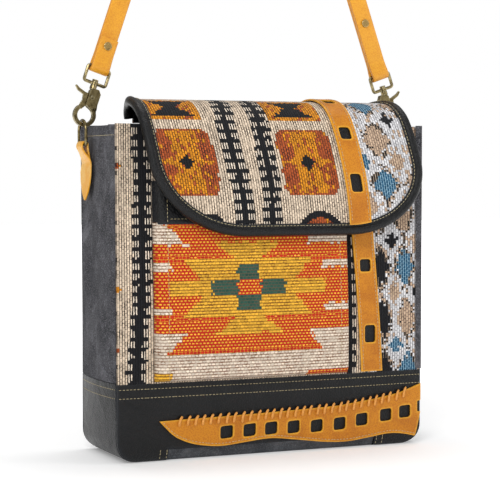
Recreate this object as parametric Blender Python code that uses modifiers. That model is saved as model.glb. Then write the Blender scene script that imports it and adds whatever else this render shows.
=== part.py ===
"""A patchwork shoulder bag with a front flap, a patch pocket and a clip-on leather strap.

Every soft piece is cut flat as its pattern piece and then wrapped on the form that carries it.
The hardware is modelled at each clip's own axis and then placed. Metres, +Z up.
The origin is the middle of the flat base, and the front faces -Y.
"""
import math

import bmesh
import bpy
from mathutils import Matrix, Vector

# Overall sizes
BAG_WIDTH = 0.290
BAG_DEPTH = 0.092
BAG_HEIGHT = 0.286
BASE_HEIGHT = 0.068
CORNER_RADIUS = 0.018
TUCK_HEIGHT = 0.012
TUCK_DEPTH = 0.0035
RIM_HEIGHT = 0.010
TRAY_BEND = 0.005

# Sheet thicknesses and the running gap between sewn layers
GAP = 0.0003
RUG_CLOTH = 0.0024
CANVAS = 0.0018
BASE_LEATHER = 0.0016
TRIM_LEATHER = 0.0014
BACKING = 0.0006
LINING_CLOTH = 0.0008

# How the filled bag swells and where its mouth is drawn in
FRONT_CROWN = 0.004
SIDE_CROWN = 0.005
FRONT_LEAN = 0.008
BACK_LEAN = 0.028
LEAN_START = 0.088

# Trim strip over the seam of the two woven pieces; on the front it leans outwards going down
STRIP_WIDTH = 0.021
STRIP_MIDDLE = 0.0875
STRIP_MIDDLE_HEIGHT = 0.163
STRIP_LEAN = 0.063
STRIP_BACKING_INSET = 0.003
SEAM_X = 0.0880
STRIP_HOLE = 0.011
STRIP_TALL_HOLE = 0.0155
FRONT_HOLE_HEIGHTS = (0.1018, 0.1626, 0.2234)

# Patch pocket
POCKET_LEFT = -0.113
POCKET_RIGHT = 0.069
POCKET_TOP = 0.203
POCKET_MOUTH = 0.238
POCKET_ROOM = 0.0075
POCKET_ROUND = 0.010

# Flap
FLAP_HALF_WIDTH = 0.129
FLAP_REAR_HALF = 0.118
FLAP_WIDEN = 0.052
FLAP_SHIFT = 0.0145
REAR_SHIFT = 0.003
FLAP_CORNER_RUN = 0.080
FLAP_CORNER_DROP = 0.064
RIM_RADIUS = 0.0042
RIM_START = 0.004
FLAP_STRIP_LEFT = 0.0480
FLAP_HOLES = ((0.0502, STRIP_HOLE), (0.0889, STRIP_HOLE), (0.1320, STRIP_TALL_HOLE))
HINGE_STRIP_HEIGHT = 0.026
FLAP_BEND = (
    (0.0165, 0.0020), (0.0150, 0.0110), (0.0060, 0.0170), (-0.0100, 0.0185), (-0.0280, 0.0150),
    (-0.0420, 0.0060), (-0.0510, -0.0090), (-0.0570, -0.0280), (-0.0605, -0.0480),
    (-0.0618, -0.0700), (-0.0622, -0.0955),
)

# Scalloped trim on the base, as across and height: its upper edge, its lower edge and its holes
TRIM_RIGHT = 0.1445
TRIM_UPPER = (
    (-0.1080, 0.0346), (-0.0865, 0.0352), (-0.0523, 0.0357), (-0.0056, 0.0368), (0.0344, 0.0380),
    (0.0610, 0.0390), (0.0965, 0.0430), (0.1221, 0.0471), (TRIM_RIGHT, 0.0544),
)
TRIM_LOWER = (
    (-0.1080, 0.0346), (-0.0958, 0.0224), (-0.0863, 0.0170), (-0.0730, 0.0128), (-0.0517, 0.0104),
    (-0.0286, 0.0124), (-0.0050, 0.0142), (0.0212, 0.0112), (0.0486, 0.0074), (0.0700, 0.0064),
    (0.0920, 0.0088), (0.1120, 0.0112), (0.1276, 0.0098), (0.1391, 0.0070),
)
TRIM_LOWER_STEPS = 36
TRIM_HOLES = (
    (-0.0466, 0.0222), (-0.0250, 0.0226), (-0.0046, 0.0230), (0.0170, 0.0228), (0.0395, 0.0224),
    (0.0622, 0.0230), (0.0842, 0.0254), (0.1086, 0.0280), (0.1282, 0.0300),
)
TRIM_HOLE_WIDTH = 0.0120
TRIM_HOLE_HEIGHT = 0.0112
TRIM_NOTCH = (0.1410, 0.0290, 0.0390)
LACE_START = -0.090
LACE_RADIUS = 0.00075
LACE_PITCH = 0.0072
LACE_REACH = 0.0042

# Rings, tabs and clips
HARDWARE_DEPTH = 0.020
WIRE_RADIUS = 0.0015
RING_BEND = 0.0095
RING_STRAIGHT = 0.0115
RING_CORNER = 0.0016
RING_SIDE = 0.1525
RING_RISE = 0.004
CLIP_TILT = 19.0
TAB_WIDTH = 0.030
TAB_NECK = 0.015
TAB_DROP = 0.048
EYE_RADIUS = 0.0068
HOOK_WIDTH = 0.0034
HOOK_THICKNESS = 0.0036
RING_PLAY = 0.0005
NOSE_ANGLE = 38.0
BODY_INNER = -0.0078
BODY_OUTER = 0.0022
BODY_BOTTOM = 0.0070
BODY_TOP = 0.0245
BODY_THICKNESS = 0.0060
SLOT_FLOOR = -0.0050
SLOT_WIDTH = 0.0028
LEVER_THICKNESS = 0.0021
PIVOT_ACROSS = -0.0012
PIVOT_HEIGHT = 0.0165
PIVOT_RADIUS = 0.0012
PIVOT_BOSS = 0.0024
POST_RADIUS = 0.0018
HEAD_RADIUS = 0.0030
HEAD_HEIGHT = 0.0015
RIVETED_RADIUS = 0.0027
LEVER_THUMB = (
    (0.0060, 0.0118), (0.0068, 0.0166), (0.0128, 0.0186), (0.0158, 0.0216), (0.0150, 0.0228),
    (0.0116, 0.0210), (0.0060, 0.0194),
)
LINK_HALF_WIDTH = 0.0102
LINK_CORNER = 0.0018
LINK_BOTTOM = 0.0290
LINK_TOP = 0.0430

# Strap
STRAP_WIDTH = 0.0168
STRAP_THICKNESS = 0.0030
APEX_RADIUS = 0.050
SHORT_TAIL = 0.027
LONG_TAIL = 0.100
RIVET_HEAD = 0.0036
RIVET_SHANK = 0.0012
RIVET_SETBACK = 0.007

# Grid cells that the flat pieces bend at
FRONT_CELL = (0.0290, 0.0220)
BACK_CELL = (0.0145, 0.0220)
BASE_CELL = (0.0290, 0.0120)
SIDE_CELL = (0.0290, 0.0055)
GUSSET_CELL = (0.0145, 0.0220)
TRAY_CELL = (0.0300, 0.0025)
POUCH_CELL = (0.0145, 0.0110)
LINING_EASE = 0.0009
LINING_ROWS = (0.0063, TUCK_HEIGHT, 0.0660)
LINING_COLUMNS = (0.30, 0.50, 0.65, 0.80, 0.90, 0.97)
FLAP_CELL = (0.0260, 0.0052)

HALF_WIDTH = BAG_WIDTH / 2
HALF_DEPTH = BAG_DEPTH / 2
FRONT_DATUM = HALF_DEPTH - RUG_CLOTH
BACK_DATUM = HALF_DEPTH - CANVAS
SIDE_DATUM = HALF_WIDTH - CANVAS
BASE_BAND_TOP = BASE_HEIGHT - GAP
RING_TOP = BAG_HEIGHT + RING_RISE


def start_scene():
    """Empties the scene and makes one collection for the bag and one for the cutters."""
    for thing in list(bpy.data.objects):
        bpy.data.objects.remove(thing)
    made = []
    for title in ("shoulder_bag", "cutters"):
        collection = bpy.data.collections.new(title)
        bpy.context.scene.collection.children.link(collection)
        made.append(collection)
    return made


BAG, CUTTERS = start_scene()


def finish_material(title, colour, roughness, metallic=0.0):
    material = bpy.data.materials.new(title)
    material.use_nodes = True
    shader = material.node_tree.nodes["Principled BSDF"]
    shader.inputs["Base Color"].default_value = (*colour, 1.0)
    shader.inputs["Roughness"].default_value = roughness
    shader.inputs["Metallic"].default_value = metallic
    return material


RUG_LADDER = finish_material("rug_ladder", (0.62, 0.50, 0.40), 0.9)
RUG_DIAMOND = finish_material("rug_diamond", (0.70, 0.68, 0.65), 0.9)
RUG_POCKET = finish_material("rug_pocket", (0.75, 0.45, 0.12), 0.9)
GREY_CANVAS = finish_material("grey_canvas", (0.075, 0.078, 0.085), 0.85)
BLACK_LEATHER = finish_material("black_leather", (0.015, 0.016, 0.020), 0.4)
TAN_LEATHER = finish_material("yellow_leather", (0.72, 0.36, 0.03), 0.5)
LINING = finish_material("lining_cloth", (0.05, 0.05, 0.05), 0.9)
OLD_BRASS = finish_material("antique_brass", (0.30, 0.25, 0.16), 0.35, 1.0)
LACE = finish_material("lace", (0.80, 0.45, 0.12), 0.6)


def solid_object(title, mesh, material):
    """Puts a finished mesh in the bag's collection under its node name."""
    thing = bpy.data.objects.new(title, mesh)
    BAG.objects.link(thing)
    mesh.materials.clear()
    mesh.materials.append(material)
    mesh.shade_smooth()
    mesh.set_sharp_from_angle(angle=math.radians(40))
    return thing


def evaluated_mesh(thing):
    """The thing's mesh with its modifiers applied; the thing itself is removed."""
    bpy.context.view_layer.update()
    depsgraph = bpy.context.evaluated_depsgraph_get()
    mesh = bpy.data.meshes.new_from_object(thing.evaluated_get(depsgraph))
    mesh.transform(thing.matrix_world)
    bpy.data.objects.remove(thing)
    return mesh


def weld(mesh, distance=0.00001):
    work = bmesh.new()
    work.from_mesh(mesh)
    bmesh.ops.remove_doubles(work, verts=work.verts, dist=distance)
    bmesh.ops.recalc_face_normals(work, faces=work.faces)
    work.to_mesh(mesh)
    work.free()
    return mesh


def prism(outline, low, high):
    """A flat outline (u, v) filled and extruded from low to high, as a mesh object among the cutters."""
    curve = bpy.data.curves.new("outline", "CURVE")
    curve.dimensions = "2D"
    curve.fill_mode = "BOTH"
    curve.extrude = (high - low) / 2
    spline = curve.splines.new("POLY")
    spline.points.add(len(outline) - 1)
    for point, (u, v) in zip(spline.points, outline):
        point.co = (u, v, 0, 1)
    spline.use_cyclic_u = True
    thing = bpy.data.objects.new("outline", curve)
    CUTTERS.objects.link(thing)
    mesh = weld(evaluated_mesh(thing))
    mesh.transform(Matrix.Translation((0, 0, (high + low) / 2)))
    solid = bpy.data.objects.new("cutter", mesh)
    CUTTERS.objects.link(solid)
    solid.hide_render = True
    solid.display_type = "WIRE"
    return solid


def combine(thing, other, operation):
    """Applies one Boolean and removes the other object."""
    modifier = thing.modifiers.new("combine", "BOOLEAN")
    modifier.object = other
    modifier.operation = operation
    mesh = evaluated_mesh(thing)
    bpy.data.objects.remove(other)
    joined = bpy.data.objects.new("cutter", mesh)
    CUTTERS.objects.link(joined)
    return joined


def board(outline, low, high, cell, holes=()):
    """A flat piece cut to its outline, over a grid whose lines fall on whole multiples of the cell.

    Layers that share a cell size therefore bend at the same lines and keep their gap.
    """
    margin = 0.002
    starts, counts = [], []
    for axis in (0, 1):
        values = [point[axis] for point in outline]
        first = math.floor((min(values) - margin) / cell[axis])
        last = math.ceil((max(values) + margin) / cell[axis])
        starts.append(first * cell[axis])
        counts.append(last - first)
    work = bmesh.new()
    bmesh.ops.create_grid(work, x_segments=counts[0], y_segments=counts[1], size=0.5)
    size = (counts[0] * cell[0], counts[1] * cell[1])
    bmesh.ops.transform(work, matrix=Matrix.Diagonal((*size, 1, 1)), verts=work.verts)
    middle = (starts[0] + size[0] / 2, starts[1] + size[1] / 2, low)
    bmesh.ops.translate(work, vec=middle, verts=work.verts)
    raised = bmesh.ops.extrude_face_region(work, geom=work.faces[:])
    tops = [v for v in raised["geom"] if isinstance(v, bmesh.types.BMVert)]
    bmesh.ops.translate(work, vec=(0, 0, high - low), verts=tops)
    bmesh.ops.recalc_face_normals(work, faces=work.faces)
    mesh = bpy.data.meshes.new("board")
    work.to_mesh(mesh)
    work.free()
    thing = bpy.data.objects.new("cutter", mesh)
    CUTTERS.objects.link(thing)
    thing = combine(thing, prism(outline, low - margin, high + margin), "INTERSECT")
    for hole in holes:
        thing = combine(thing, prism(hole, low - margin, high + margin), "DIFFERENCE")
    work = bmesh.new()
    work.from_mesh(thing.data)
    for axis, normal in ((0, (1, 0, 0)), (1, (0, 1, 0))):
        for step in range(1, counts[axis]):
            place = Vector(normal) * (starts[axis] + step * cell[axis])
            geometry = work.verts[:] + work.edges[:] + work.faces[:]
            bmesh.ops.bisect_plane(work, geom=geometry, dist=0.000002, plane_co=place, plane_no=normal)
    work.to_mesh(thing.data)
    work.free()
    return thing


def wrapped(title, thing, form, material):
    """Bends a flat piece: form(u, v, lift) gives the place of each of its corners."""
    mesh = evaluated_mesh(thing)
    for vertex in mesh.vertices:
        vertex.co = form(*vertex.co)
    return solid_object(title, weld(mesh, 0.000001), material)


def rectangle(left, right, bottom, top):
    return [(left, bottom), (right, bottom), (right, top), (left, top)]


def rounded_square(middle_u, middle_v, width, height, radius=0.0022, steps=2):
    """The outline of a punched hole with rounded corners."""
    outline = []
    for corner in range(4):
        sign_u = 1 if corner in (0, 3) else -1
        sign_v = 1 if corner in (0, 1) else -1
        for step in range(steps + 1):
            angle = math.pi / 2 * (corner + step / steps)
            outline.append((
                middle_u + sign_u * (width / 2 - radius) + radius * math.cos(angle),
                middle_v + sign_v * (height / 2 - radius) + radius * math.sin(angle),
            ))
    return outline


def smooth_step(value):
    value = min(1.0, max(0.0, value))
    return value * value * (3 - 2 * value)


def spline_points(controls, steps):
    """Catmull-Rom points through the controls, evenly placed by length."""
    padded = [2 * controls[0] - controls[1], *controls, 2 * controls[-1] - controls[-2]]
    fine = []
    for a, b, c, d in zip(padded, padded[1:], padded[2:], padded[3:]):
        for step in range(12):
            t = step / 12
            fine.append(0.5 * (
                2 * b + (c - a) * t + (2 * a - 5 * b + 4 * c - d) * t ** 2
                + (3 * b - 3 * c + d - a) * t ** 3
            ))
    fine.append(controls[-1])
    lengths = [0.0]
    for a, b in zip(fine, fine[1:]):
        lengths.append(lengths[-1] + (b - a).length)
    total = lengths[-1]
    points = []
    index = 0
    for step in range(steps + 1):
        want = total * step / steps
        while index < len(fine) - 2 and lengths[index + 1] < want:
            index += 1
        share = (want - lengths[index]) / (lengths[index + 1] - lengths[index])
        points.append(fine[index].lerp(fine[index + 1], share))
    return points, total


# The bag's own form

def mouth_pull(x, z):
    """0 at the corners and the base, 1 in the middle of the mouth."""
    across = 1 - min(1.0, abs(x) / HALF_WIDTH) ** 6
    return across * smooth_step((z - LEAN_START) / (BAG_HEIGHT - LEAN_START))


def panel_crown(x, z):
    across = 1 - min(1.0, abs(x) / HALF_WIDTH) ** 2
    upright = math.sin(math.pi * min(1.0, max(0.0, z / BAG_HEIGHT)) ** 0.8)
    return across * max(0.0, upright)


def tuck(z):
    return TUCK_DEPTH * max(0.0, 1 - z / TUCK_HEIGHT) ** 2


def front_depth(x, z):
    return FRONT_DATUM + FRONT_CROWN * panel_crown(x, z) - FRONT_LEAN * mouth_pull(x, z) - tuck(z)


def back_depth(x, z):
    return BACK_DATUM + FRONT_CROWN * panel_crown(x, z) - BACK_LEAN * mouth_pull(x, z) - tuck(z)


def faceted(depth, x, z, cell):
    """The wall's depth, straight between the lines that its pieces bend at, so that layers stay parallel."""
    step_x = cell[0]
    step_z = BASE_CELL[1] if z < BASE_HEIGHT else cell[1]
    left, low = math.floor(x / step_x), math.floor(z / step_z)
    share_x, share_z = x / step_x - left, z / step_z - low
    rows = []
    for row in (low, low + 1):
        start = depth(left * step_x, row * step_z)
        rows.append(start + (depth((left + 1) * step_x, row * step_z) - start) * share_x)
    return rows[0] + (rows[1] - rows[0]) * share_z


def front_form(x, z, lift):
    return Vector((x, -faceted(front_depth, x, z, FRONT_CELL) - lift, z))


def back_form(x, z, lift):
    return Vector((x, faceted(back_depth, x, z, BACK_CELL) + lift, z))


def side_swell(y, z):
    across = 1 - min(1.0, abs(y) / HALF_DEPTH) ** 2
    upright = math.sin(math.pi * min(1.0, max(0.0, z / BAG_HEIGHT)) ** 0.8)
    return SIDE_CROWN * across * max(0.0, upright)


def mouth_edges(y, z):
    """Draws a gusset's two edges in where the leaning panels come in at the mouth."""
    form = back_form if y > 0 else front_form
    edge = abs(form(SIDE_DATUM - SIDE_CROWN / 4, max(z, LEAN_START), -2 * GAP).y)
    sewn = abs(form(SIDE_DATUM - SIDE_CROWN / 4, LEAN_START, -2 * GAP).y)
    return y * edge / sewn


def side_form(side):
    """Form of the strip that runs down one side and under the bag; v is the height, then the run below."""
    turn = CORNER_RADIUS

    def place(y, v, lift):
        if v >= turn:
            x = SIDE_DATUM + side_swell(y, v) + lift
            return Vector((side * x, mouth_edges(y, v), v))
        quarter = math.pi / 2 * turn
        middle = Vector((SIDE_DATUM + CANVAS - turn, 0, turn))
        reach = turn - CANVAS + lift
        if v > turn - quarter:
            angle = (turn - v) / turn
            fade = math.cos(angle)
            x = middle.x + reach * math.cos(angle) + side_swell(y, v) * fade
            return Vector((side * x, y, middle.z - reach * math.sin(angle)))
        x = middle.x - (turn - quarter - v)
        return Vector((side * x, y, CANVAS - lift))

    return place


SIDE_FORMS = {"left": side_form(-1), "right": side_form(1)}
BASE_END = 0.0985
BASE_RUN = CORNER_RADIUS - math.pi / 2 * CORNER_RADIUS - (
    SIDE_DATUM + CANVAS - CORNER_RADIUS - BASE_END
)


def lower_outline(bottom, top, notch):
    """Outline of a base band: rounded lower corners, with a notch that the bottom panel's rim fills."""
    outline = [(HALF_WIDTH, top), (-HALF_WIDTH, top)]
    lowest = 0.0005
    for step in range(6):
        angle = math.pi + math.pi / 2 * step / 5
        outline.append((
            -HALF_WIDTH + CORNER_RADIUS + CORNER_RADIUS * math.cos(angle),
            lowest + CORNER_RADIUS + CORNER_RADIUS * math.sin(angle),
        ))
    outline += [(-notch, lowest), (-notch, bottom), (notch, bottom), (notch, lowest)]
    for step in range(6):
        angle = 1.5 * math.pi + math.pi / 2 * step / 5
        outline.append((
            HALF_WIDTH - CORNER_RADIUS + CORNER_RADIUS * math.cos(angle),
            lowest + CORNER_RADIUS + CORNER_RADIUS * math.sin(angle),
        ))
    return outline


def make_panels():
    """The two woven front pieces, joined under the trim strip, and the canvas back."""
    top = BAG_HEIGHT
    left = board(rectangle(-HALF_WIDTH, SEAM_X - GAP / 2, BASE_HEIGHT, top), 0, RUG_CLOTH, FRONT_CELL)
    wrapped("front_ladder_panel", left, front_form, RUG_LADDER)
    right = board(rectangle(SEAM_X + GAP / 2, HALF_WIDTH, BASE_HEIGHT, top), 0, RUG_CLOTH, FRONT_CELL)
    wrapped("front_diamond_panel", right, front_form, RUG_DIAMOND)
    back = board(rectangle(-HALF_WIDTH, HALF_WIDTH, BASE_HEIGHT, top), 0, CANVAS, BACK_CELL)
    wrapped("back_panel", back, back_form, GREY_CANVAS)


def make_base():
    """Black leather bands round the foot of the bag, and the canvas panel beneath."""
    notch = BASE_END + GAP
    band = lower_outline(RIM_HEIGHT + GAP, BASE_BAND_TOP, notch)
    wrapped("base_front_band", board(band, 0, RUG_CLOTH, BASE_CELL), front_form, BLACK_LEATHER)
    wrapped("base_back_band", board(band, 0, CANVAS, BASE_CELL), back_form, BLACK_LEATHER)
    inner = min(FRONT_DATUM, BACK_DATUM) - GAP
    for name, form in SIDE_FORMS.items():
        run = rectangle(-inner + TUCK_DEPTH, inner - TUCK_DEPTH, BASE_RUN, BASE_BAND_TOP)
        cut = [
            (-inner, BASE_BAND_TOP), (-inner, TUCK_HEIGHT), (-inner + TUCK_DEPTH, -GAP),
            (run[0][0], BASE_RUN), (run[1][0], BASE_RUN), (inner - TUCK_DEPTH, -GAP),
            (inner, TUCK_HEIGHT), (inner, BASE_BAND_TOP),
        ]
        piece = board(cut, 0, BASE_LEATHER, SIDE_CELL)
        wrapped(f"base_{name}_band", piece, form, BLACK_LEATHER)
        gusset = board(rectangle(-inner, inner, BASE_HEIGHT, BAG_HEIGHT - 0.001), 0, CANVAS, GUSSET_CELL)
        wrapped(f"{name}_gusset", gusset, form, GREY_CANVAS)


def tray_form(x, t, lift):
    """Section of the bottom panel: flat, with its long edges turned up inside a small radius."""
    bend = TRAY_BEND
    flat = HALF_DEPTH - TUCK_DEPTH - bend
    side = 1 if t >= 0 else -1
    run = abs(t)
    if run <= flat:
        return Vector((x, t, CANVAS - lift))
    arc = math.pi / 2 * bend
    reach = bend - CANVAS + lift
    if run <= flat + arc:
        angle = (run - flat) / bend
        return Vector((x, side * (flat + reach * math.sin(angle)), bend - reach * math.cos(angle)))
    height = bend + run - flat - arc
    lean = TUCK_DEPTH * (1 - max(0.0, 1 - height / TUCK_HEIGHT) ** 2) * (height - bend) / (RIM_HEIGHT - bend)
    return Vector((x, side * (flat + reach + lean), height))


def make_bottom():
    bend = TRAY_BEND
    reach = HALF_DEPTH - TUCK_DEPTH - bend + math.pi / 2 * bend + RIM_HEIGHT - bend
    piece = board(rectangle(-BASE_END, BASE_END, -reach, reach), 0, CANVAS, TRAY_CELL)
    wrapped("bottom_panel", piece, tray_form, GREY_CANVAS)


def make_lining():
    """The inner bag: one open-topped cloth box that follows the walls a hair inside them."""
    work = bmesh.new()
    bmesh.ops.create_cube(work, size=2)
    top = [face for face in work.faces if face.normal.z > 0.5]
    bmesh.ops.delete(work, geom=top, context="FACES")
    floor = CANVAS + GAP
    ceiling = BAG_HEIGHT - 0.002
    across = [sign * share for sign in (-1, 1) for share in LINING_COLUMNS]
    levels = [*LINING_ROWS, LEAN_START]
    levels += [LEAN_START + BACK_CELL[1] * step for step in range(1, 9)]
    upright = [2 * (level - floor) / (ceiling - floor) - 1 for level in levels]
    for place in sorted(across):
        geometry = work.verts[:] + work.edges[:] + work.faces[:]
        bmesh.ops.bisect_plane(work, geom=geometry, plane_co=(place, 0, 0), plane_no=(1, 0, 0))
    for height in sorted(upright):
        geometry = work.verts[:] + work.edges[:] + work.faces[:]
        bmesh.ops.bisect_plane(work, geom=geometry, plane_co=(0, 0, height), plane_no=(0, 0, 1))
    for vertex in work.verts:
        share = (vertex.co.z + 1) / 2
        z = floor + (ceiling - floor) * share
        rise = min(1.0, (z - floor) / CORNER_RADIUS)
        pinch = CORNER_RADIUS * (1 - math.sqrt(max(0.0, 1 - (1 - rise) ** 2)))
        x = vertex.co.x * (SIDE_DATUM - LINING_EASE - pinch)
        form = front_form if vertex.co.y < 0 else back_form
        y = form(x, z, -LINING_EASE).y
        rim = HALF_DEPTH - TUCK_DEPTH - CANVAS - LINING_EASE
        low = rim - TRAY_BEND * 0.6 * max(0.0, 1 - z / TRAY_BEND)
        if z < RIM_HEIGHT + 0.002:
            y = math.copysign(min(abs(y), low), y)
        vertex.co = (x, y, z)
    bmesh.ops.recalc_face_normals(work, faces=work.faces)
    mesh = bpy.data.meshes.new("lining")
    work.to_mesh(mesh)
    work.free()
    thing = bpy.data.objects.new("lining", mesh)
    CUTTERS.objects.link(thing)
    wall = thing.modifiers.new("wall", "SOLIDIFY")
    wall.thickness = LINING_CLOTH
    wall.offset = -1
    solid_object("lining", weld(evaluated_mesh(thing), 0.000001), LINING)


def pocket_form(x, z, lift):
    """The pocket's face falls towards its sewn edges, so the pouch looks filled."""
    surface = RUG_CLOTH + GAP
    inset = min(x - POCKET_LEFT, POCKET_RIGHT - x, (z - BASE_HEIGHT) * 1.3)
    ease = smooth_step(inset / POCKET_ROUND)
    if lift > surface:
        lift = surface + (lift - surface) * (0.35 + 0.65 * ease)
    return front_form(x, z, lift)


def pouch(title, bottom, top, closed_bottom, material):
    """A cloth pouch sewn on the front: a face and the edges that turn back to the bag."""
    surface = RUG_CLOTH + GAP
    outer = surface + POCKET_ROOM + RUG_CLOTH
    inner_top = outer - RUG_CLOTH
    wall = 0.0022
    body = board(rectangle(POCKET_LEFT, POCKET_RIGHT, bottom, top), surface, outer, POUCH_CELL)
    floor = bottom + wall if closed_bottom else bottom - wall
    room = board(
        rectangle(POCKET_LEFT + wall, POCKET_RIGHT - wall, floor, top + wall),
        surface - wall, inner_top, POUCH_CELL,
    )
    wrapped(title, combine(body, room, "DIFFERENCE"), pocket_form, material)


def make_pocket():
    pouch("pocket_pouch", BASE_HEIGHT + GAP, POCKET_TOP, True, RUG_POCKET)
    pouch("pocket_facing", POCKET_TOP + GAP, POCKET_MOUTH, False, BLACK_LEATHER)


def strip_middle(height):
    """How far right the middle of the leaning front strip is at a height."""
    return STRIP_MIDDLE + STRIP_LEAN * (STRIP_MIDDLE_HEIGHT - height)


def leaning_strip(half, bottom, top):
    low, high = strip_middle(bottom), strip_middle(top)
    return [(low - half, bottom), (low + half, bottom), (high + half, top), (high - half, top)]


def make_front_strip():
    """Leather trim over the seam of the two front pieces; black leather shows in its holes."""
    surface = RUG_CLOTH + GAP
    bottom, top = BASE_HEIGHT + GAP, BAG_HEIGHT - 0.002
    inset = STRIP_BACKING_INSET
    back = leaning_strip(STRIP_WIDTH / 2 - inset, bottom + inset, top - inset)
    piece = board(back, surface, surface + BACKING, FRONT_CELL)
    wrapped("front_strip_backing", piece, front_form, BLACK_LEATHER)
    face = surface + BACKING + GAP
    sizes = (STRIP_TALL_HOLE, STRIP_HOLE, STRIP_HOLE)
    holes = [
        rounded_square(strip_middle(height), height, STRIP_HOLE, tall)
        for height, tall in zip(FRONT_HOLE_HEIGHTS, sizes)
    ]
    piece = board(leaning_strip(STRIP_WIDTH / 2, bottom, top), face, face + TRIM_LEATHER, FRONT_CELL, holes)
    wrapped("front_strip", piece, front_form, TAN_LEATHER)


# Flap: a path in the YZ plane that the flat flap is bent over

FLAP_CONTROLS = [Vector((depth, BAG_HEIGHT + rise)) for depth, rise in FLAP_BEND]
FLAP_STEPS = 60
FLAP_PATH, FLAP_LENGTH = spline_points(FLAP_CONTROLS, FLAP_STEPS)


def flap_line(index, lift):
    """Place of one of the flap's bending lines: sideways shift, then Y and Z."""
    s = index * FLAP_CELL[1]
    place = min(max(s / FLAP_LENGTH, 0.0), 1.0) * FLAP_STEPS
    near = min(int(place), FLAP_STEPS - 1)
    along = (FLAP_PATH[min(near + 2, FLAP_STEPS)] - FLAP_PATH[max(near - 1, 0)]).normalized()
    point = FLAP_PATH[near].lerp(FLAP_PATH[near + 1], place - near)
    point = point + along * (s - place / FLAP_STEPS * FLAP_LENGTH)
    shift = REAR_SHIFT + (FLAP_SHIFT - REAR_SHIFT) * smooth_step((s / FLAP_LENGTH - 0.35) / 0.65)
    return Vector((shift, point.x + along.y * lift, point.y - along.x * lift))


def flap_form(x, s, lift):
    """The flap is straight between its bending lines, so that all its layers stay parallel."""
    index = math.floor(s / FLAP_CELL[1])
    line = flap_line(index, lift).lerp(flap_line(index + 1, lift), s / FLAP_CELL[1] - index)
    return line + Vector((x, 0, 0))


def flap_edge(inset, steps=12):
    """The flap's outline from the left hinge corner round to the right one, moved in by inset."""
    half = FLAP_HALF_WIDTH - inset
    end = FLAP_LENGTH - inset
    run = FLAP_CORNER_RUN - inset
    drop = FLAP_CORNER_DROP - inset
    rear = FLAP_REAR_HALF - inset
    shoulder = []
    for step in range(6):
        slant = 0.15 * inset * math.sin(math.pi * step / 6)
        shoulder.append((rear + (half - rear) * smooth_step(step / 6) - slant, FLAP_WIDEN * step / 6))
    points = [(-x, s) for x, s in shoulder]
    for step in range(steps + 1):
        angle = math.pi / 2 * step / steps
        points.append((-half + run - run * math.cos(angle), end - drop + drop * math.sin(angle)))
    for step in range(steps + 1):
        angle = math.pi / 2 * (1 - step / steps)
        points.append((half - run + run * math.cos(angle), end - drop + drop * math.sin(angle)))
    return points + shoulder[::-1]


def clipped_flap(low_x, high_x, inset):
    """The flap's outline between two cuts, for the pieces that it is sewn from."""
    edge = flap_edge(inset)
    kept = [(min(max(x, low_x), high_x), s) for x, s in edge if low_x <= x <= high_x]
    bottom = FLAP_LENGTH - inset
    if high_x < edge[-1][0]:
        kept += [(high_x, cut_height(edge, high_x, bottom)), (high_x, 0.0)]
    if low_x > edge[0][0]:
        kept = [(low_x, 0.0), (low_x, cut_height(edge, low_x, bottom)), *kept]
    return kept


def cut_height(edge, x, bottom):
    for (a, s), (b, t) in zip(edge, edge[1:]):
        if a < b and a <= x <= b:
            return s + (t - s) * (x - a) / (b - a)
    return bottom


def make_flap():
    """Lining, two woven pieces, the trim strip over their seam, and the round leather rim."""
    inset = 2 * RIM_RADIUS + 3 * GAP
    piece = board(flap_edge(inset), 0, LINING_CLOTH, FLAP_CELL)
    wrapped("flap_lining", piece, flap_form, BLACK_LEATHER)
    cloth = LINING_CLOTH + GAP
    face = cloth + RUG_CLOTH
    seam = FLAP_STRIP_LEFT + STRIP_WIDTH / 2
    left = clipped_flap(-FLAP_HALF_WIDTH, seam - GAP / 2, inset)
    piece = board(left, cloth, face, FLAP_CELL)
    wrapped("flap_ladder_panel", piece, flap_form, RUG_LADDER)
    right = clipped_flap(seam + GAP / 2, FLAP_HALF_WIDTH, inset)
    piece = board(right, cloth, face, FLAP_CELL)
    wrapped("flap_diamond_panel", piece, flap_form, RUG_DIAMOND)
    strip_right = FLAP_STRIP_LEFT + STRIP_WIDTH
    border = STRIP_BACKING_INSET
    under = clipped_flap(FLAP_STRIP_LEFT + border, strip_right - border, inset + border)
    under = [(x, max(s, 2 * RIM_START)) for x, s in under]
    piece = board(under, face + GAP, face + GAP + BACKING, FLAP_CELL)
    wrapped("flap_strip_backing", piece, flap_form, BLACK_LEATHER)
    top = face + 2 * GAP + BACKING
    outline = [(x, max(s, RIM_START)) for x, s in clipped_flap(FLAP_STRIP_LEFT, strip_right, inset)]
    holes = [rounded_square(seam, s, STRIP_HOLE, tall) for s, tall in FLAP_HOLES]
    piece = board(outline, top, top + TRIM_LEATHER, FLAP_CELL, holes)
    wrapped("flap_strip", piece, flap_form, TAN_LEATHER)
    middle = (LINING_CLOTH + GAP + RUG_CLOTH) / 2
    edge = [(x, max(s, RIM_START)) for x, s in flap_edge(RIM_RADIUS, 16)]
    path = [flap_form(x, s, middle) for x, s in even_path(edge, 56)]
    tube("flap_rim", path, RIM_RADIUS, BLACK_LEATHER, 2)


def even_path(points, count):
    """Points at even spacing along an open polyline."""
    points = [Vector(p) for p in points]
    lengths = [0.0]
    for a, b in zip(points, points[1:]):
        lengths.append(lengths[-1] + (b - a).length)
    even = []
    index = 0
    for step in range(count):
        want = lengths[-1] * step / (count - 1)
        while index < len(points) - 2 and lengths[index + 1] < want:
            index += 1
        share = (want - lengths[index]) / (lengths[index + 1] - lengths[index])
        even.append(points[index].lerp(points[index + 1], share))
    return even


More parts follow.
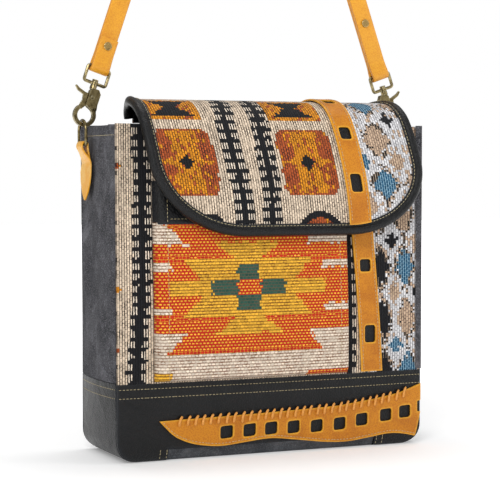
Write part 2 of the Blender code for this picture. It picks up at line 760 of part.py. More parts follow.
def curve_mesh(points, radius, resolution, cyclic=False):
    """A round wire along the points, with closed ends, as a welded mesh."""
    curve = bpy.data.curves.new("wire", "CURVE")
    curve.dimensions = "3D"
    curve.bevel_depth = radius
    curve.bevel_resolution = resolution
    curve.use_fill_caps = not cyclic
    spline = curve.splines.new("POLY")
    spline.points.add(len(points) - 1)
    for point, place in zip(spline.points, points):
        point.co = (*place, 1)
    spline.use_cyclic_u = cyclic
    thing = bpy.data.objects.new("wire", curve)
    CUTTERS.objects.link(thing)
    return weld(evaluated_mesh(thing), 0.000001)


def tube(title, points, radius, material, resolution, cyclic=False):
    return solid_object(title, curve_mesh(points, radius, resolution, cyclic), material)


def make_hinge_strip():
    """The leather strip on the back that the flap's rear edge is sewn into."""
    low = BAG_HEIGHT - HINGE_STRIP_HEIGHT
    outline = rectangle(-FLAP_HALF_WIDTH + 0.004, FLAP_HALF_WIDTH + 0.002, low, BAG_HEIGHT + 0.0012)
    lift = CANVAS + 2 * GAP
    piece = board(outline, lift, lift + TRIM_LEATHER, BACK_CELL)
    wrapped("flap_hinge_strip", piece, back_form, BLACK_LEATHER)


# Scalloped trim on the base

def trim_top(x):
    """Height of the trim's upper edge."""
    for (a, low), (b, high) in zip(TRIM_UPPER, TRIM_UPPER[1:]):
        if x <= b:
            return low + (high - low) * (x - a) / (b - a)
    return TRIM_UPPER[-1][1]


def trim_outline():
    """The scalloped edge from its tip to the corner, a punched notch, then back along the top."""
    lower, _ = spline_points([Vector(point) for point in TRIM_LOWER], TRIM_LOWER_STEPS)
    inside, low, high = TRIM_NOTCH
    notch = [(TRIM_RIGHT, low), (inside, low), (inside, high), (TRIM_RIGHT, high)]
    return [*(tuple(point) for point in lower), *notch, *TRIM_UPPER[:0:-1]]


def make_base_trim():
    surface = RUG_CLOTH + GAP
    holes = [rounded_square(x, z, TRIM_HOLE_WIDTH, TRIM_HOLE_HEIGHT) for x, z in TRIM_HOLES]
    piece = board(trim_outline(), surface, surface + TRIM_LEATHER, BASE_CELL, holes)
    wrapped("base_trim", piece, front_form, TAN_LEATHER)


def make_lacing():
    """One thong whipped over the trim's upper edge: it crosses the face, then drops behind the edge."""
    radius = LACE_RADIUS
    face = RUG_CLOTH + GAP + TRIM_LEATHER + GAP + radius
    deep = RUG_CLOTH + GAP + radius
    above = 2.6 * radius
    turn = ((0, -LACE_REACH, face), (0.0014, above, face), (0.0036, above, deep), (0.0058, above, face))
    points = []
    for index in range(int((TRIM_RIGHT - LACE_REACH - LACE_START) / LACE_PITCH)):
        for across, rise, lift in turn:
            x = LACE_START + LACE_PITCH * index + across
            points.append(front_form(x, trim_top(x) + rise, lift))
    tube("base_lacing", points, radius, LACE, 0)


# Rings, tabs and clips

def ring_points():
    """A D ring in the YZ plane with the middle of its bow at the origin and its bar below."""
    points = []
    for step in range(13):
        angle = math.pi * step / 12
        points.append((0, RING_BEND * math.cos(angle), RING_BEND * math.sin(angle) - RING_BEND))
    corner = RING_CORNER
    low = -RING_BEND - RING_STRAIGHT
    for sign, turn in ((-1, math.pi), (1, 1.5 * math.pi)):
        for step in range(4):
            angle = turn + math.pi / 2 * step / 3
            points.append((
                0,
                sign * (RING_BEND - corner) + corner * math.cos(angle),
                low + corner + corner * math.sin(angle),
            ))
    return [Vector(point) for point in points]


RING_BAR = -RING_BEND - RING_STRAIGHT
TAB_TOP = RING_TOP + RING_BAR


def tab_form(side):
    """Path of a tab that lies on the gusset, turns round the ring's bar and comes back down in front."""
    form = SIDE_FORMS["left" if side < 0 else "right"]
    bar = Vector((RING_SIDE, TAB_TOP))
    loop = WIRE_RADIUS + GAP + TRIM_LEATHER / 2
    lowest = TAB_TOP - TAB_DROP

    def wall(z):
        return abs(form(HARDWARE_DEPTH, z, CANVAS + 2 * GAP).x)

    start = [Vector((wall(z) + TRIM_LEATHER / 2, z)) for z in (lowest + 0.018, lowest + 0.030)]
    inner = Vector((bar.x - loop, bar.y - 0.003))
    arc = [
        bar + Vector((-math.cos(angle), math.sin(angle))) * loop
        for angle in (math.pi * step / 8 for step in range(9))
    ]
    outer_gap = 1.5 * TRIM_LEATHER + GAP * 2
    levels = (TAB_TOP - 0.014, lowest + 0.024, lowest + 0.010, lowest)
    tail = [Vector((wall(z) + outer_gap, z)) for z in levels]
    outer = Vector((bar.x + loop, bar.y - 0.003))
    path, length = spline_points([*start, inner, *arc, outer, *tail], 70)

    def place(v, s, lift):
        at = min(max(s / length, 0.0), 1.0) * 70
        index = min(int(at), 69)
        point = path[index].lerp(path[index + 1], at - index)
        along = (path[min(index + 2, 70)] - path[max(index - 1, 0)]).normalized()
        out = Vector((-along.y, along.x))
        lift = lift - TRIM_LEATHER / 2
        x, y, z = point.x + out.x * lift, HARDWARE_DEPTH + v, point.y + out.y * lift
        hug = smooth_step((TAB_TOP - z) / 0.012)
        x += hug * (side_swell(y, z) - side_swell(HARDWARE_DEPTH, z))
        return Vector((side * x, y, z))

    return place, length


def tab_outline(length):
    """A leaf: a short under tongue, a narrow neck at the ring and a pointed blade outside."""
    half, neck = TAB_WIDTH / 2, TAB_NECK / 2
    blade = [(neck, length * 0.42), (neck, length * 0.52), (half * 0.82, length * 0.60),
             (half, length * 0.72), (half * 0.92, length * 0.82), (half * 0.60, length * 0.92),
             (half * 0.10, length)]
    left = [(-v, s) for v, s in reversed(blade)]
    return [(-neck, 0.0), (neck, 0.0), *blade, *left]


def make_tab_and_ring(name, side):
    form, length = tab_form(side)
    piece = board(tab_outline(length), 0, TRIM_LEATHER, (TAB_WIDTH / 2, length / 70))
    wrapped(f"{name}_tab", piece, form, TAN_LEATHER)
    place = Vector((side * RING_SIDE, HARDWARE_DEPTH, RING_TOP))
    ring = [place + point for point in ring_points()]
    tube(f"{name}_ring", ring, WIRE_RADIUS, OLD_BRASS, 2, cyclic=True)


# Clips, each modelled on its own swivel axis: outward, depth, then up from the middle of its eye

TILT = math.radians(CLIP_TILT)
SEAT_DROP = EYE_RADIUS - WIRE_RADIUS - RING_PLAY


def clip_point(side, outward, depth, up):
    """World place of a point of the clip on the given side (-1 left, 1 right)."""
    axis = Vector((-side * math.sin(TILT), 0, math.cos(TILT)))
    out = Vector((side * math.cos(TILT), 0, math.sin(TILT)))
    eye = Vector((side * RING_SIDE, HARDWARE_DEPTH, RING_TOP)) + axis * SEAT_DROP
    return eye + out * outward + Vector((0, depth, 0)) + axis * up


def placed(title, mesh, side, material):
    for vertex in mesh.vertices:
        vertex.co = clip_point(side, *vertex.co)
    return solid_object(title, weld(mesh, 0.000001), material)


def plate(outline, thickness):
    """A flat piece in the clip's plane, centred on its depth."""
    thing = prism(outline, -thickness / 2, thickness / 2)
    thing.data.transform(Matrix.Rotation(math.pi / 2, 4, "X"))
    return thing


def disc(radius, low, high, middle, direction, sides=16):
    """A round bar from low to high along the depth ("Y") or the clip's axis ("Z")."""
    work = bmesh.new()
    bmesh.ops.create_cone(
        work, cap_ends=True, segments=sides, radius1=radius, radius2=radius, depth=high - low,
    )
    bmesh.ops.translate(work, vec=(0, 0, (high + low) / 2), verts=work.verts)
    if direction == "Y":
        bmesh.ops.rotate(work, matrix=Matrix.Rotation(-math.pi / 2, 3, "X"), verts=work.verts)
    bmesh.ops.translate(work, vec=middle, verts=work.verts)
    mesh = bpy.data.meshes.new("disc")
    work.to_mesh(mesh)
    work.free()
    thing = bpy.data.objects.new("cutter", mesh)
    CUTTERS.objects.link(thing)
    return thing


def arc(radius, start, end, steps):
    points = []
    for step in range(steps + 1):
        angle = math.radians(start + (end - start) * step / steps)
        points.append((radius * math.cos(angle), radius * math.sin(angle)))
    return points


def make_hook(name, side):
    """Spine, eye and nose in one casting, with the swivel post and its riveted head."""
    outer = EYE_RADIUS + HOOK_WIDTH
    outline = [(BODY_INNER, BODY_BOTTOM + 0.004)]
    outline += arc(outer, 150, 360 + NOSE_ANGLE, 20)
    outline += arc(EYE_RADIUS, 360 + NOSE_ANGLE, 128, 20)
    outline += [(BODY_OUTER - 0.002, BODY_BOTTOM + 0.0005), (BODY_OUTER, BODY_BOTTOM + 0.002)]
    outline += [(BODY_OUTER, BODY_TOP - 0.0025), (BODY_OUTER - 0.0015, BODY_TOP)]
    outline += [(BODY_INNER + 0.0025, BODY_TOP), (BODY_INNER, BODY_TOP - 0.0035)]
    hook = plate(outline, BODY_THICKNESS)
    thin = plate(rectangle(-0.02, 0.02, -0.02, BODY_BOTTOM), BODY_THICKNESS + 0.002)
    keep = plate(rectangle(-0.03, 0.03, -0.03, BODY_BOTTOM + 0.001), HOOK_THICKNESS)
    hook = combine(hook, combine(thin, keep, "DIFFERENCE"), "DIFFERENCE")
    slot = plate(
        rectangle(SLOT_FLOOR, BODY_OUTER + 0.004, BODY_BOTTOM - 0.004, BODY_TOP - 0.0028), SLOT_WIDTH,
    )
    hook = combine(hook, slot, "DIFFERENCE")
    pivot = (PIVOT_ACROSS, 0, PIVOT_HEIGHT)
    bore = disc(PIVOT_RADIUS + GAP, -BODY_THICKNESS, BODY_THICKNESS, pivot, "Y", 12)
    hook = combine(hook, bore, "DIFFERENCE")
    collar = LINK_BOTTOM - WIRE_RADIUS - GAP
    hook = combine(hook, disc(HEAD_RADIUS, BODY_TOP - 0.001, collar, (0, 0, 0), "Z"), "UNION")
    head = LINK_BOTTOM + WIRE_RADIUS + GAP
    hook = combine(hook, disc(POST_RADIUS, BODY_TOP, head + 0.001, (0, 0, 0), "Z"), "UNION")
    hook = combine(hook, disc(RIVETED_RADIUS, head, head + HEAD_HEIGHT, (0, 0, 0), "Z"), "UNION")
    placed(f"{name}_hook", evaluated_mesh(hook), side, OLD_BRASS)


def make_lever(name, side):
    """The sprung trigger: a thumb piece above its pivot and a gate that closes the eye below."""
    nose = math.radians(NOSE_ANGLE)
    away = Vector((-math.sin(nose), math.cos(nose))) * GAP
    inner = Vector((math.cos(nose), math.sin(nose))) * (EYE_RADIUS - 0.0008) + away
    outer = Vector((math.cos(nose), math.sin(nose))) * (EYE_RADIUS + HOOK_WIDTH - 0.0004) + away
    pivot = Vector((PIVOT_ACROSS, PIVOT_HEIGHT))
    boss = [
        tuple(pivot + Vector((math.cos(math.radians(angle)), math.sin(math.radians(angle)))) * PIVOT_BOSS)
        for angle in (80, 120, 160, 200, 240)
    ]
    outline = [*boss, tuple(inner), tuple(outer), *LEVER_THUMB]
    lever = plate(outline, LEVER_THICKNESS)
    place = (PIVOT_ACROSS, 0, PIVOT_HEIGHT)
    bore = disc(PIVOT_RADIUS + GAP, -BODY_THICKNESS, BODY_THICKNESS, place, "Y", 12)
    lever = combine(lever, bore, "DIFFERENCE")
    placed(f"{name}_lever", evaluated_mesh(lever), side, OLD_BRASS)
    reach = BODY_THICKNESS / 2 + 0.0006
    pin = disc(PIVOT_RADIUS, -reach, reach, place, "Y", 12)
    placed(f"{name}_lever_pin", evaluated_mesh(pin), side, OLD_BRASS)


def make_link(name, side):
    """The squared ring that the strap passes through, with a boss bored for the swivel post."""
    corner = LINK_CORNER
    half, low, high = LINK_HALF_WIDTH, LINK_BOTTOM, LINK_TOP
    points = []
    for centre_x, centre_z, start in (
        (half - corner, high - corner, 0), (-half + corner, high - corner, 90),
        (-half + corner, low + corner, 180), (half - corner, low + corner, 270),
    ):
        for u, v in arc(corner, start, start + 90, 3):
            points.append(Vector((centre_x + u, 0, centre_z + v)))
    mesh = curve_mesh(points, WIRE_RADIUS, 2, cyclic=True)
    ring = bpy.data.objects.new("cutter", mesh)
    CUTTERS.objects.link(ring)
    boss = disc(HEAD_RADIUS, low - WIRE_RADIUS, low + WIRE_RADIUS, (0, 0, 0), "Z")
    ring = combine(ring, boss, "UNION")
    bore = disc(POST_RADIUS + GAP, low - 0.004, low + 0.004, (0, 0, 0), "Z")
    ring = combine(ring, bore, "DIFFERENCE")
    placed(f"{name}_link", evaluated_mesh(ring), side, OLD_BRASS)


# Strap: its middle line runs in its own plane (along, depth), then is laid on the two legs and the arch

BAR_HEIGHT = LINK_TOP
LOOP_RADIUS = WIRE_RADIUS + GAP + STRAP_THICKNESS / 2
LAYER_STEP = (STRAP_THICKNESS + GAP) / 2
SPREAD_RUN = 0.012


def strap_leg(side, tail):
    """Places (across, depth, up) of one end: the tail in front, the turn round the link, the leg behind."""
    points = []
    up_steps = max(2, int(tail / 0.010))
    for step in range(up_steps, 0, -1):
        rise = tail * step / up_steps
        ease = smooth_step(rise / SPREAD_RUN)
        points.append((0, -(LOOP_RADIUS * (1 - ease) + LAYER_STEP * ease), BAR_HEIGHT + rise))
    for step in range(9):
        angle = math.pi * step / 8
        points.append((0, -LOOP_RADIUS * math.cos(angle), BAR_HEIGHT - LOOP_RADIUS * math.sin(angle)))
    for rise in (0.004, 0.008, 0.012, 0.030, 0.060, 0.105):
        ease = smooth_step(rise / SPREAD_RUN)
        points.append((0, LOOP_RADIUS * (1 - ease) + LAYER_STEP * ease, BAR_HEIGHT + rise))
    return [clip_point(side, *point) for point in points]


def make_strap():
    left = strap_leg(-1, SHORT_TAIL)
    right = strap_leg(1, LONG_TAIL)
    foot = clip_point(-1, 0, 0, BAR_HEIGHT)
    meeting = foot.z + abs(foot.x) / math.tan(TILT)
    middle = meeting - APEX_RADIUS / math.sin(TILT)
    depth = HARDWARE_DEPTH + LAYER_STEP
    arch = []
    for step in range(15):
        angle = math.pi - TILT - (math.pi - 2 * TILT) * step / 14
        arch.append(Vector((
            APEX_RADIUS * math.cos(angle), depth, middle + APEX_RADIUS * math.sin(angle),
        )))
    path = [*left, *arch, *reversed(right)]
    work = bmesh.new()
    half, thick = STRAP_WIDTH / 2, STRAP_THICKNESS / 2
    rings = []
    for index, point in enumerate(path):
        along = (path[min(index + 1, len(path) - 1)] - path[max(index - 1, 0)]).normalized()
        wide = across_strap(point, along, middle)
        out = along.cross(wide).normalized()
        corners = [point + wide * u + out * v for u, v in (
            (half, thick), (-half, thick), (-half, -thick), (half, -thick))]
        rings.append([work.verts.new(corner) for corner in corners])
    for a, b in zip(rings, rings[1:]):
        for side in range(4):
            work.faces.new((a[side], a[(side + 1) % 4], b[(side + 1) % 4], b[side]))
    work.faces.new(rings[0][::-1])
    work.faces.new(rings[-1])
    bmesh.ops.recalc_face_normals(work, faces=work.faces)
    mesh = bpy.data.meshes.new("strap")
    work.to_mesh(mesh)
    work.free()
    solid_object("strap", mesh, TAN_LEATHER)


def across_strap(point, along, arch_middle):
    """The strap's width direction: square to its own leg in the XZ plane, and to the arch's radius."""
    if point.z > arch_middle + APEX_RADIUS * math.sin(TILT) * 0.9:
        return Vector((point.x, 0, point.z - arch_middle)).normalized()
    side = -1 if point.x < 0 else 1
    return Vector((side * math.cos(TILT), 0, math.sin(TILT)))


def make_rivets():
    """Rivets through both layers: one at the short tail, two on the long one."""
    places = [("left_rivet", -1, SHORT_TAIL - RIVET_SETBACK)]
    places.append(("right_rivet_lower", 1, LONG_TAIL * 0.5))
    places.append(("right_rivet_upper", 1, LONG_TAIL - RIVET_SETBACK))
    face = LAYER_STEP + STRAP_THICKNESS / 2 + GAP
    for title, side, rise in places:
        centre = (0, 0, BAR_HEIGHT + rise)
        shank = disc(RIVET_SHANK, -face - 0.0006, face + 0.0006, centre, "Y", 10)
        for sign in (-1, 1):
            low, high = sorted((sign * face, sign * (face + 0.0010)))
            shank = combine(shank, disc(RIVET_HEAD, low, high, centre, "Y", 16), "UNION")
        placed(title, evaluated_mesh(shank), side, OLD_BRASS)


def drill_strap():
    """Holes for the rivets, cut through both layers of the finished strap."""
    strap = bpy.data.objects["strap"]
    for side, rise in (
        (-1, SHORT_TAIL - RIVET_SETBACK), (1, LONG_TAIL * 0.5), (1, LONG_TAIL - RIVET_SETBACK),
    ):
        hole = disc(RIVET_SHANK + GAP, -0.02, 0.02, (0, 0, BAR_HEIGHT + rise), "Y", 10)
        for vertex in hole.data.vertices:
            vertex.co = clip_point(side, *vertex.co)
        weld(hole.data, 0.000001)
        material = strap.data.materials[0]
        strap = combine(strap, hole, "DIFFERENCE")
    mesh = evaluated_mesh(strap)
    solid_object("strap", weld(mesh, 0.000001), material)


make_panels()
make_base()
make_bottom()
make_lining()
make_pocket()
make_front_strip()
make_flap()
make_hinge_strip()
make_base_trim()
make_lacing()
for clip_name, clip_side in (("left", -1), ("right", 1)):
    make_tab_and_ring(clip_name, clip_side)
    make_hook(clip_name, clip_side)
    make_lever(clip_name, clip_side)
    make_link(clip_name, clip_side)
make_strap()
drill_strap()
make_rivets()
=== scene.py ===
# %% [markdown]
# # A woven shoulder bag
# The bag is sewn from patterned rug cloth, grey canvas and leather, and hangs from a clipped-on strap.
# The imported model gives every node's place, so this script only dresses it with cloth, leather, stitches
# and brass.

import math
import random

import bmesh
import bpy
import numpy as np
from mathutils import Matrix, Vector


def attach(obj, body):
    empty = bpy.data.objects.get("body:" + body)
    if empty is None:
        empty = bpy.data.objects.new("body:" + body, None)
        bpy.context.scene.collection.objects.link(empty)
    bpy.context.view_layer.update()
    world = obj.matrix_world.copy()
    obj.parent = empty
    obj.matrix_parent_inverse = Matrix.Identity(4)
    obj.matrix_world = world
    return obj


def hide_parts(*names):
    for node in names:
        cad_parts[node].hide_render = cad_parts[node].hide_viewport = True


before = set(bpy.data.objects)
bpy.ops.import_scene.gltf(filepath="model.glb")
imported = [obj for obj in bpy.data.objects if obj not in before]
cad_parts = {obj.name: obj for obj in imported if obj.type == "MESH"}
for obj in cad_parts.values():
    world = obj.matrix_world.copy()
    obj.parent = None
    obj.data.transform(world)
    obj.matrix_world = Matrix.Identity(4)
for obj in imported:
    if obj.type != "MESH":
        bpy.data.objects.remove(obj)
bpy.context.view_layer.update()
print("nodes in the frame:", len(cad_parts))

# %% [markdown]
# ## Camera
# The photograph was taken from slightly above and from the bag's left, with a long lens.
# A camera on a sphere round the bag is easy to reason about: yaw and pitch give its direction, distance its
# place, and the focal length follows from how many pixels one metre covers.

# %% Camera
CAMERA_DISTANCE = 1.5306
CAMERA_YAW = math.radians(-23.88)
CAMERA_PITCH = math.radians(2.68)
FOCAL_LENGTH = 123.48
AIM_ACROSS = -0.0028
AIM_HEIGHT = 0.1758


def make_camera():
    back = Vector((
        math.sin(CAMERA_YAW) * math.cos(CAMERA_PITCH),
        -math.cos(CAMERA_YAW) * math.cos(CAMERA_PITCH),
        math.sin(CAMERA_PITCH),
    ))
    aim = Vector((AIM_ACROSS * math.cos(CAMERA_YAW), AIM_ACROSS * math.sin(CAMERA_YAW), AIM_HEIGHT))
    lens = bpy.data.cameras.new("camera")
    lens.lens = FOCAL_LENGTH
    lens.sensor_width = 36
    lens.clip_end = 50
    camera = bpy.data.objects.new("camera", lens)
    turn = back.to_track_quat("Z", "Y").to_matrix().to_4x4()
    camera.matrix_world = Matrix.Translation(aim + back * CAMERA_DISTANCE) @ turn
    bpy.context.scene.collection.objects.link(camera)
    bpy.context.scene.camera = camera


make_camera()

# %% [markdown]
# ## Node helpers
# Every finish below is a small network of nodes. One helper adds a node and fills its sockets, either
# with a value or with another node's output, and one makes a group with named sockets, so that an effect
# such as leather grain is built once and shared. Noise is always taken at a place on the object.

# %% Node helpers
def add(tree, kind, sockets=(), **settings):
    """Adds a shader node; sockets maps an input's name or number to a value or to another node's output."""
    made = tree.nodes.new("ShaderNode" + kind)
    for key, value in settings.items():
        setattr(made, key, value)
    for key, value in dict(sockets).items():
        if isinstance(value, bpy.types.NodeSocket):
            tree.links.new(value, made.inputs[key])
        else:
            made.inputs[key].default_value = value
    return made


def maths(tree, operation, first, second=0.5, third=0.0):
    return add(tree, "Math", {0: first, 1: second, 2: third}, operation=operation).outputs[0]


def between(tree, value, low, high, from_value=0.0, to_value=1.0):
    """Rises smoothly from one value to the other while the input goes from low to high."""
    sockets = {0: value, 1: low, 2: high, 3: from_value, 4: to_value}
    return add(tree, "MapRange", sockets, interpolation_type="SMOOTHSTEP").outputs[0]


def mixed(tree, share, first, second, blend="MIX"):
    sockets = {0: share, 6: first, 7: second}
    return add(tree, "Mix", sockets, data_type="RGBA", blend_type=blend).outputs[2]


def new_group(title, inputs, outputs):
    """An empty group with its sockets; inputs maps a name to its socket type and default."""
    tree = bpy.data.node_groups.new(title, "ShaderNodeTree")
    for name, (kind, value) in inputs.items():
        socket = tree.interface.new_socket(name, in_out="INPUT", socket_type="NodeSocket" + kind)
        if value is not None:
            socket.default_value = value
    for name, kind in outputs.items():
        tree.interface.new_socket(name, in_out="OUTPUT", socket_type="NodeSocket" + kind)
    return tree, tree.nodes.new("NodeGroupInput").outputs, tree.nodes.new("NodeGroupOutput").inputs


def use_group(tree, group, sockets):
    return add(tree, "Group", sockets, node_tree=group).outputs


def object_place(tree):
    return add(tree, "TexCoord").outputs["Object"]


def noise(tree, place, scale, detail, roughness=0.5, distortion=0.0):
    sockets = {"Vector": place, "Scale": scale, "Detail": detail, "Roughness": roughness,
               "Distortion": distortion}
    return add(tree, "TexNoise", sockets).outputs[0]


def rgb(code):
    """A colour written as on a dyer's card, in hexadecimal, turned into Blender's linear values."""
    parts = [int(code[at:at + 2], 16) / 255 for at in (0, 2, 4)]
    linear = [p / 12.92 if p < 0.04045 else ((p + 0.055) / 1.055) ** 2.4 for p in parts]
    return (*linear, 1.0)


def new_material(title, **constants):
    """A material, its tree and its shader, with the sockets that are the same all over set here."""
    material = bpy.data.materials.new(title)
    material.use_nodes = True
    tree = material.node_tree
    shader = tree.nodes["Principled BSDF"]
    for name, value in constants.items():
        shader.inputs[name.replace("_", " ")].default_value = value
    return material, tree, shader


def connect(tree, shader, colour, roughness, height, bump_distance):
    bump = add(tree, "Bump", {"Height": height, "Distance": bump_distance})
    tree.links.new(colour, shader.inputs["Base Color"])
    tree.links.new(roughness, shader.inputs["Roughness"])
    tree.links.new(bump.outputs[0], shader.inputs["Normal"])


# %% [markdown]
# ## Floor and light
# One flat pale floor glows more with distance until it is as white as the world behind it, so that no
# horizon shows. The world is seen as white, but casts less light than that. A large soft key from the upper
# left models the leather, a weaker fill from the right opens the shadow side, and a top light lifts the flap.

# %% Floor and lights
WHITE = (1, 1, 1, 1)
FLOOR_COLOUR = (0.93, 0.93, 0.93, 1)
FLOOR_ROUGHNESS = 0.85
FLOOR_HALF = 6.0
GLOW_DISTANCES = (0.2, 1.6)
GLOW_STRENGTHS = (0.22, 1.0)
WORLD_SEEN = 1.0
WORLD_CAST = 0.42
LIGHT_AIM = Vector((0, 0, 0.2))
LIGHTS = (
    ("key", (-1.4, -2.0, 1.9), (1.3, 1.3), 36),
    ("fill", (1.9, -1.3, 1.1), (0.9, 1.6), 11),
    ("top", (0.2, 0.4, 2.3), (1.6, 0.8), 17),
)


def make_floor():
    work = bmesh.new()
    bmesh.ops.create_grid(work, x_segments=2, y_segments=2, size=FLOOR_HALF)
    mesh = bpy.data.meshes.new("floor")
    work.to_mesh(mesh)
    work.free()
    material, tree, shader = new_material("pale_floor", Base_Color=FLOOR_COLOUR,
                                          Roughness=FLOOR_ROUGHNESS, Emission_Color=WHITE)
    far = add(tree, "VectorMath", {0: object_place(tree)}, operation="LENGTH").outputs["Value"]
    glow = between(tree, far, *GLOW_DISTANCES, *GLOW_STRENGTHS)
    tree.links.new(glow, shader.inputs["Emission Strength"])
    mesh.materials.append(material)
    floor = bpy.data.objects.new("floor", mesh)
    bpy.context.scene.collection.objects.link(floor)


def make_light(title, place, size, power):
    light = bpy.data.lights.new(title, "AREA")
    light.shape = "RECTANGLE"
    light.size, light.size_y = size
    light.energy = power
    lamp = bpy.data.objects.new(title, light)
    turn = (Vector(place) - LIGHT_AIM).to_track_quat("Z", "Y").to_matrix().to_4x4()
    lamp.matrix_world = Matrix.Translation(place) @ turn
    bpy.context.scene.collection.objects.link(lamp)


def make_world():
    """A white surround that looks brighter than the light it casts."""
    world = bpy.data.worlds.new("studio")
    world.use_nodes = True
    tree = world.node_tree
    ground = tree.nodes["Background"]
    ground.inputs["Color"].default_value = WHITE
    seen = add(tree, "LightPath").outputs["Is Camera Ray"]
    strength = add(tree, "MapRange", {0: seen, 3: WORLD_CAST, 4: WORLD_SEEN}).outputs[0]
    tree.links.new(strength, ground.inputs["Strength"])
    bpy.context.scene.world = world
    bpy.context.scene.view_settings.view_transform = "Standard"


make_floor()
make_world()
for light_row in LIGHTS:
    make_light(*light_row)

# %% [markdown]
# ## Leather grain
# Real leather is a net of shallow pebbles with pores, with soft cloudy patches where the dye took
# differently, and it is rubbed at its cut edges. Cells of a Voronoi texture make the pebbles, noises make
# pores, clouds, scuffs and, in soft leather, creases. An attribute called rim, which grows towards the
# piece's cut edge, marks the wear.

# %% Leather grain group
def make_leather_grain():
    inputs = {
        "Colour": ("Color", (0.5, 0.5, 0.5, 1)),
        "Cloud colour": ("Color", (0.4, 0.4, 0.4, 1)),
        "Edge colour": ("Color", (0.6, 0.6, 0.6, 1)),
        "Pebble size": ("Float", 0.0016),
        "Roughness": ("Float", 0.5),
        "Creases": ("Float", 0.0),
    }
    outputs = {"Colour": "Color", "Roughness": "Float", "Height": "Float"}
    tree, given, result = new_group("leather_grain", inputs, outputs)
    place = object_place(tree)
    count = maths(tree, "DIVIDE", 1.0, given["Pebble size"])
    pebbles = add(tree, "TexVoronoi", {"Vector": place, "Scale": count}, feature="F1").outputs[0]
    seams = between(tree, pebbles, 0.35, 0.75)
    clouds = between(tree, noise(tree, place, 38.0, 4.0, 0.6), 0.40, 0.66)
    colour = mixed(tree, clouds, given["Colour"], given["Cloud colour"])
    colour = mixed(tree, maths(tree, "MULTIPLY", seams, 0.30), colour, given["Cloud colour"], "MULTIPLY")
    scuffs = noise(tree, place, 210.0, 6.0, 0.7)
    rim = add(tree, "Attribute", attribute_name="rim").outputs["Fac"]
    worn = maths(tree, "MULTIPLY", rim, between(tree, scuffs, 0.35, 0.60, 0.45, 1.0))
    tree.links.new(mixed(tree, worn, colour, given["Edge colour"]), result["Colour"])
    shine = maths(tree, "MULTIPLY_ADD", scuffs, 0.22, given["Roughness"])
    tree.links.new(maths(tree, "SUBTRACT", shine, 0.11), result["Roughness"])
    pores = maths(tree, "MULTIPLY", noise(tree, place, 2600.0, 3.0), 0.35)
    slack = noise(tree, place, 24.0, 3.0, distortion=1.4)
    height = maths(tree, "MULTIPLY_ADD", slack, given["Creases"], maths(tree, "SUBTRACT", pores, seams))
    tree.links.new(height, result["Height"])
    return tree


LEATHER_GRAIN = make_leather_grain()


def leather(title, colour, cloud, edge, roughness, pebble, depth, creases=0.0, **constants):
    material, tree, shader = new_material(title, **constants)
    grain = use_group(tree, LEATHER_GRAIN, {
        "Colour": rgb(colour), "Cloud colour": rgb(cloud), "Edge colour": rgb(edge),
        "Pebble size": pebble, "Roughness": roughness, "Creases": creases,
    })
    connect(tree, shader, grain["Colour"], grain["Roughness"], grain["Height"], depth)
    return material


BLACK_LEATHER = leather("black_leather", "0C0D0F", "060709", "1C1F24", 0.36, 0.0014, 0.00020,
                        creases=11.0, Specular_IOR_Level=0.30)
YELLOW_LEATHER = leather("yellow_leather", "CB8210", "BB7209", "E7A92F", 0.48, 0.0011, 0.00005,
                         Specular_IOR_Level=0.35)
STRAP_LEATHER = leather("strap_leather", "E2A022", "D8951C", "C88420", 0.44, 0.0011, 0.00004)
TAB_LEATHER = leather("tab_leather", "E6A41C", "EDC06A", "F2BC52", 0.46, 0.0011, 0.00004)

# %% [markdown]
# ## Canvas
# The sides and the back are washed grey canvas: a fine plain weave with paler threads on its high
# places. Two crossed waves of the thread pitch make the weave, and cloudy noises make the wash marks, the
# rubbed patches and the soft folds.

# %% Washed canvas
THREAD_PITCH = 0.0011


def make_canvas(title, colour, pale, dark):
    material, tree, shader = new_material(title, Specular_IOR_Level=0.15)
    place = object_place(tree)
    parts = add(tree, "SeparateXYZ", {0: place}).outputs
    turn = 2 * math.pi / THREAD_PITCH
    warp = maths(tree, "SINE", maths(tree, "MULTIPLY", maths(tree, "ADD", parts[0], parts[1]), turn))
    weft = maths(tree, "SINE", maths(tree, "MULTIPLY", parts[2], turn))
    fuzz = noise(tree, place, 900.0, 3.0)
    wash = between(tree, noise(tree, place, 26.0, 6.0, 0.65), 0.38, 0.68)
    tone = mixed(tree, wash, rgb(dark), rgb(colour))
    speck = maths(tree, "MULTIPLY", between(tree, fuzz, 0.45, 0.75), 0.55)
    tone = mixed(tree, speck, tone, rgb(pale))
    rubbed = between(tree, noise(tree, place, 48.0, 8.0, 0.68, 0.7), 0.46, 0.78, 0.0, 0.42)
    tone = mixed(tree, rubbed, tone, rgb(pale))
    rough = between(tree, fuzz, 0.3, 0.7, 0.80, 0.97)
    folds = maths(tree, "MULTIPLY", noise(tree, place, 17.0, 3.0, distortion=1.2), 14.0)
    threads = maths(tree, "MULTIPLY", maths(tree, "MULTIPLY", warp, weft), 0.6)
    height = maths(tree, "ADD", maths(tree, "ADD", threads, fuzz), folds)
    connect(tree, shader, tone, rough, height, 0.00026)
    return material


GREY_CANVAS = make_canvas("grey_canvas", "515154", "94939A", "333336")
HEM_CANVAS = make_canvas("hem_canvas", "54565A", "77797D", "3B3D41")
LINING_CLOTH = make_canvas("lining_cloth", "232427", "333437", "191A1C")

# %% [markdown]
# ## Antique brass
# The rings and clips are brass that was darkened and then rubbed back. A coarse noise holds the dark film.
# Where the rounded normal of a Bevel node leaves the true one there is an edge, which is rubbed bright,
# and ambient occlusion finds the hollows, which stay brown-black.

# %% Antique brass
EDGE_RADIUS = 0.0007
HOLLOW_REACH = 0.004


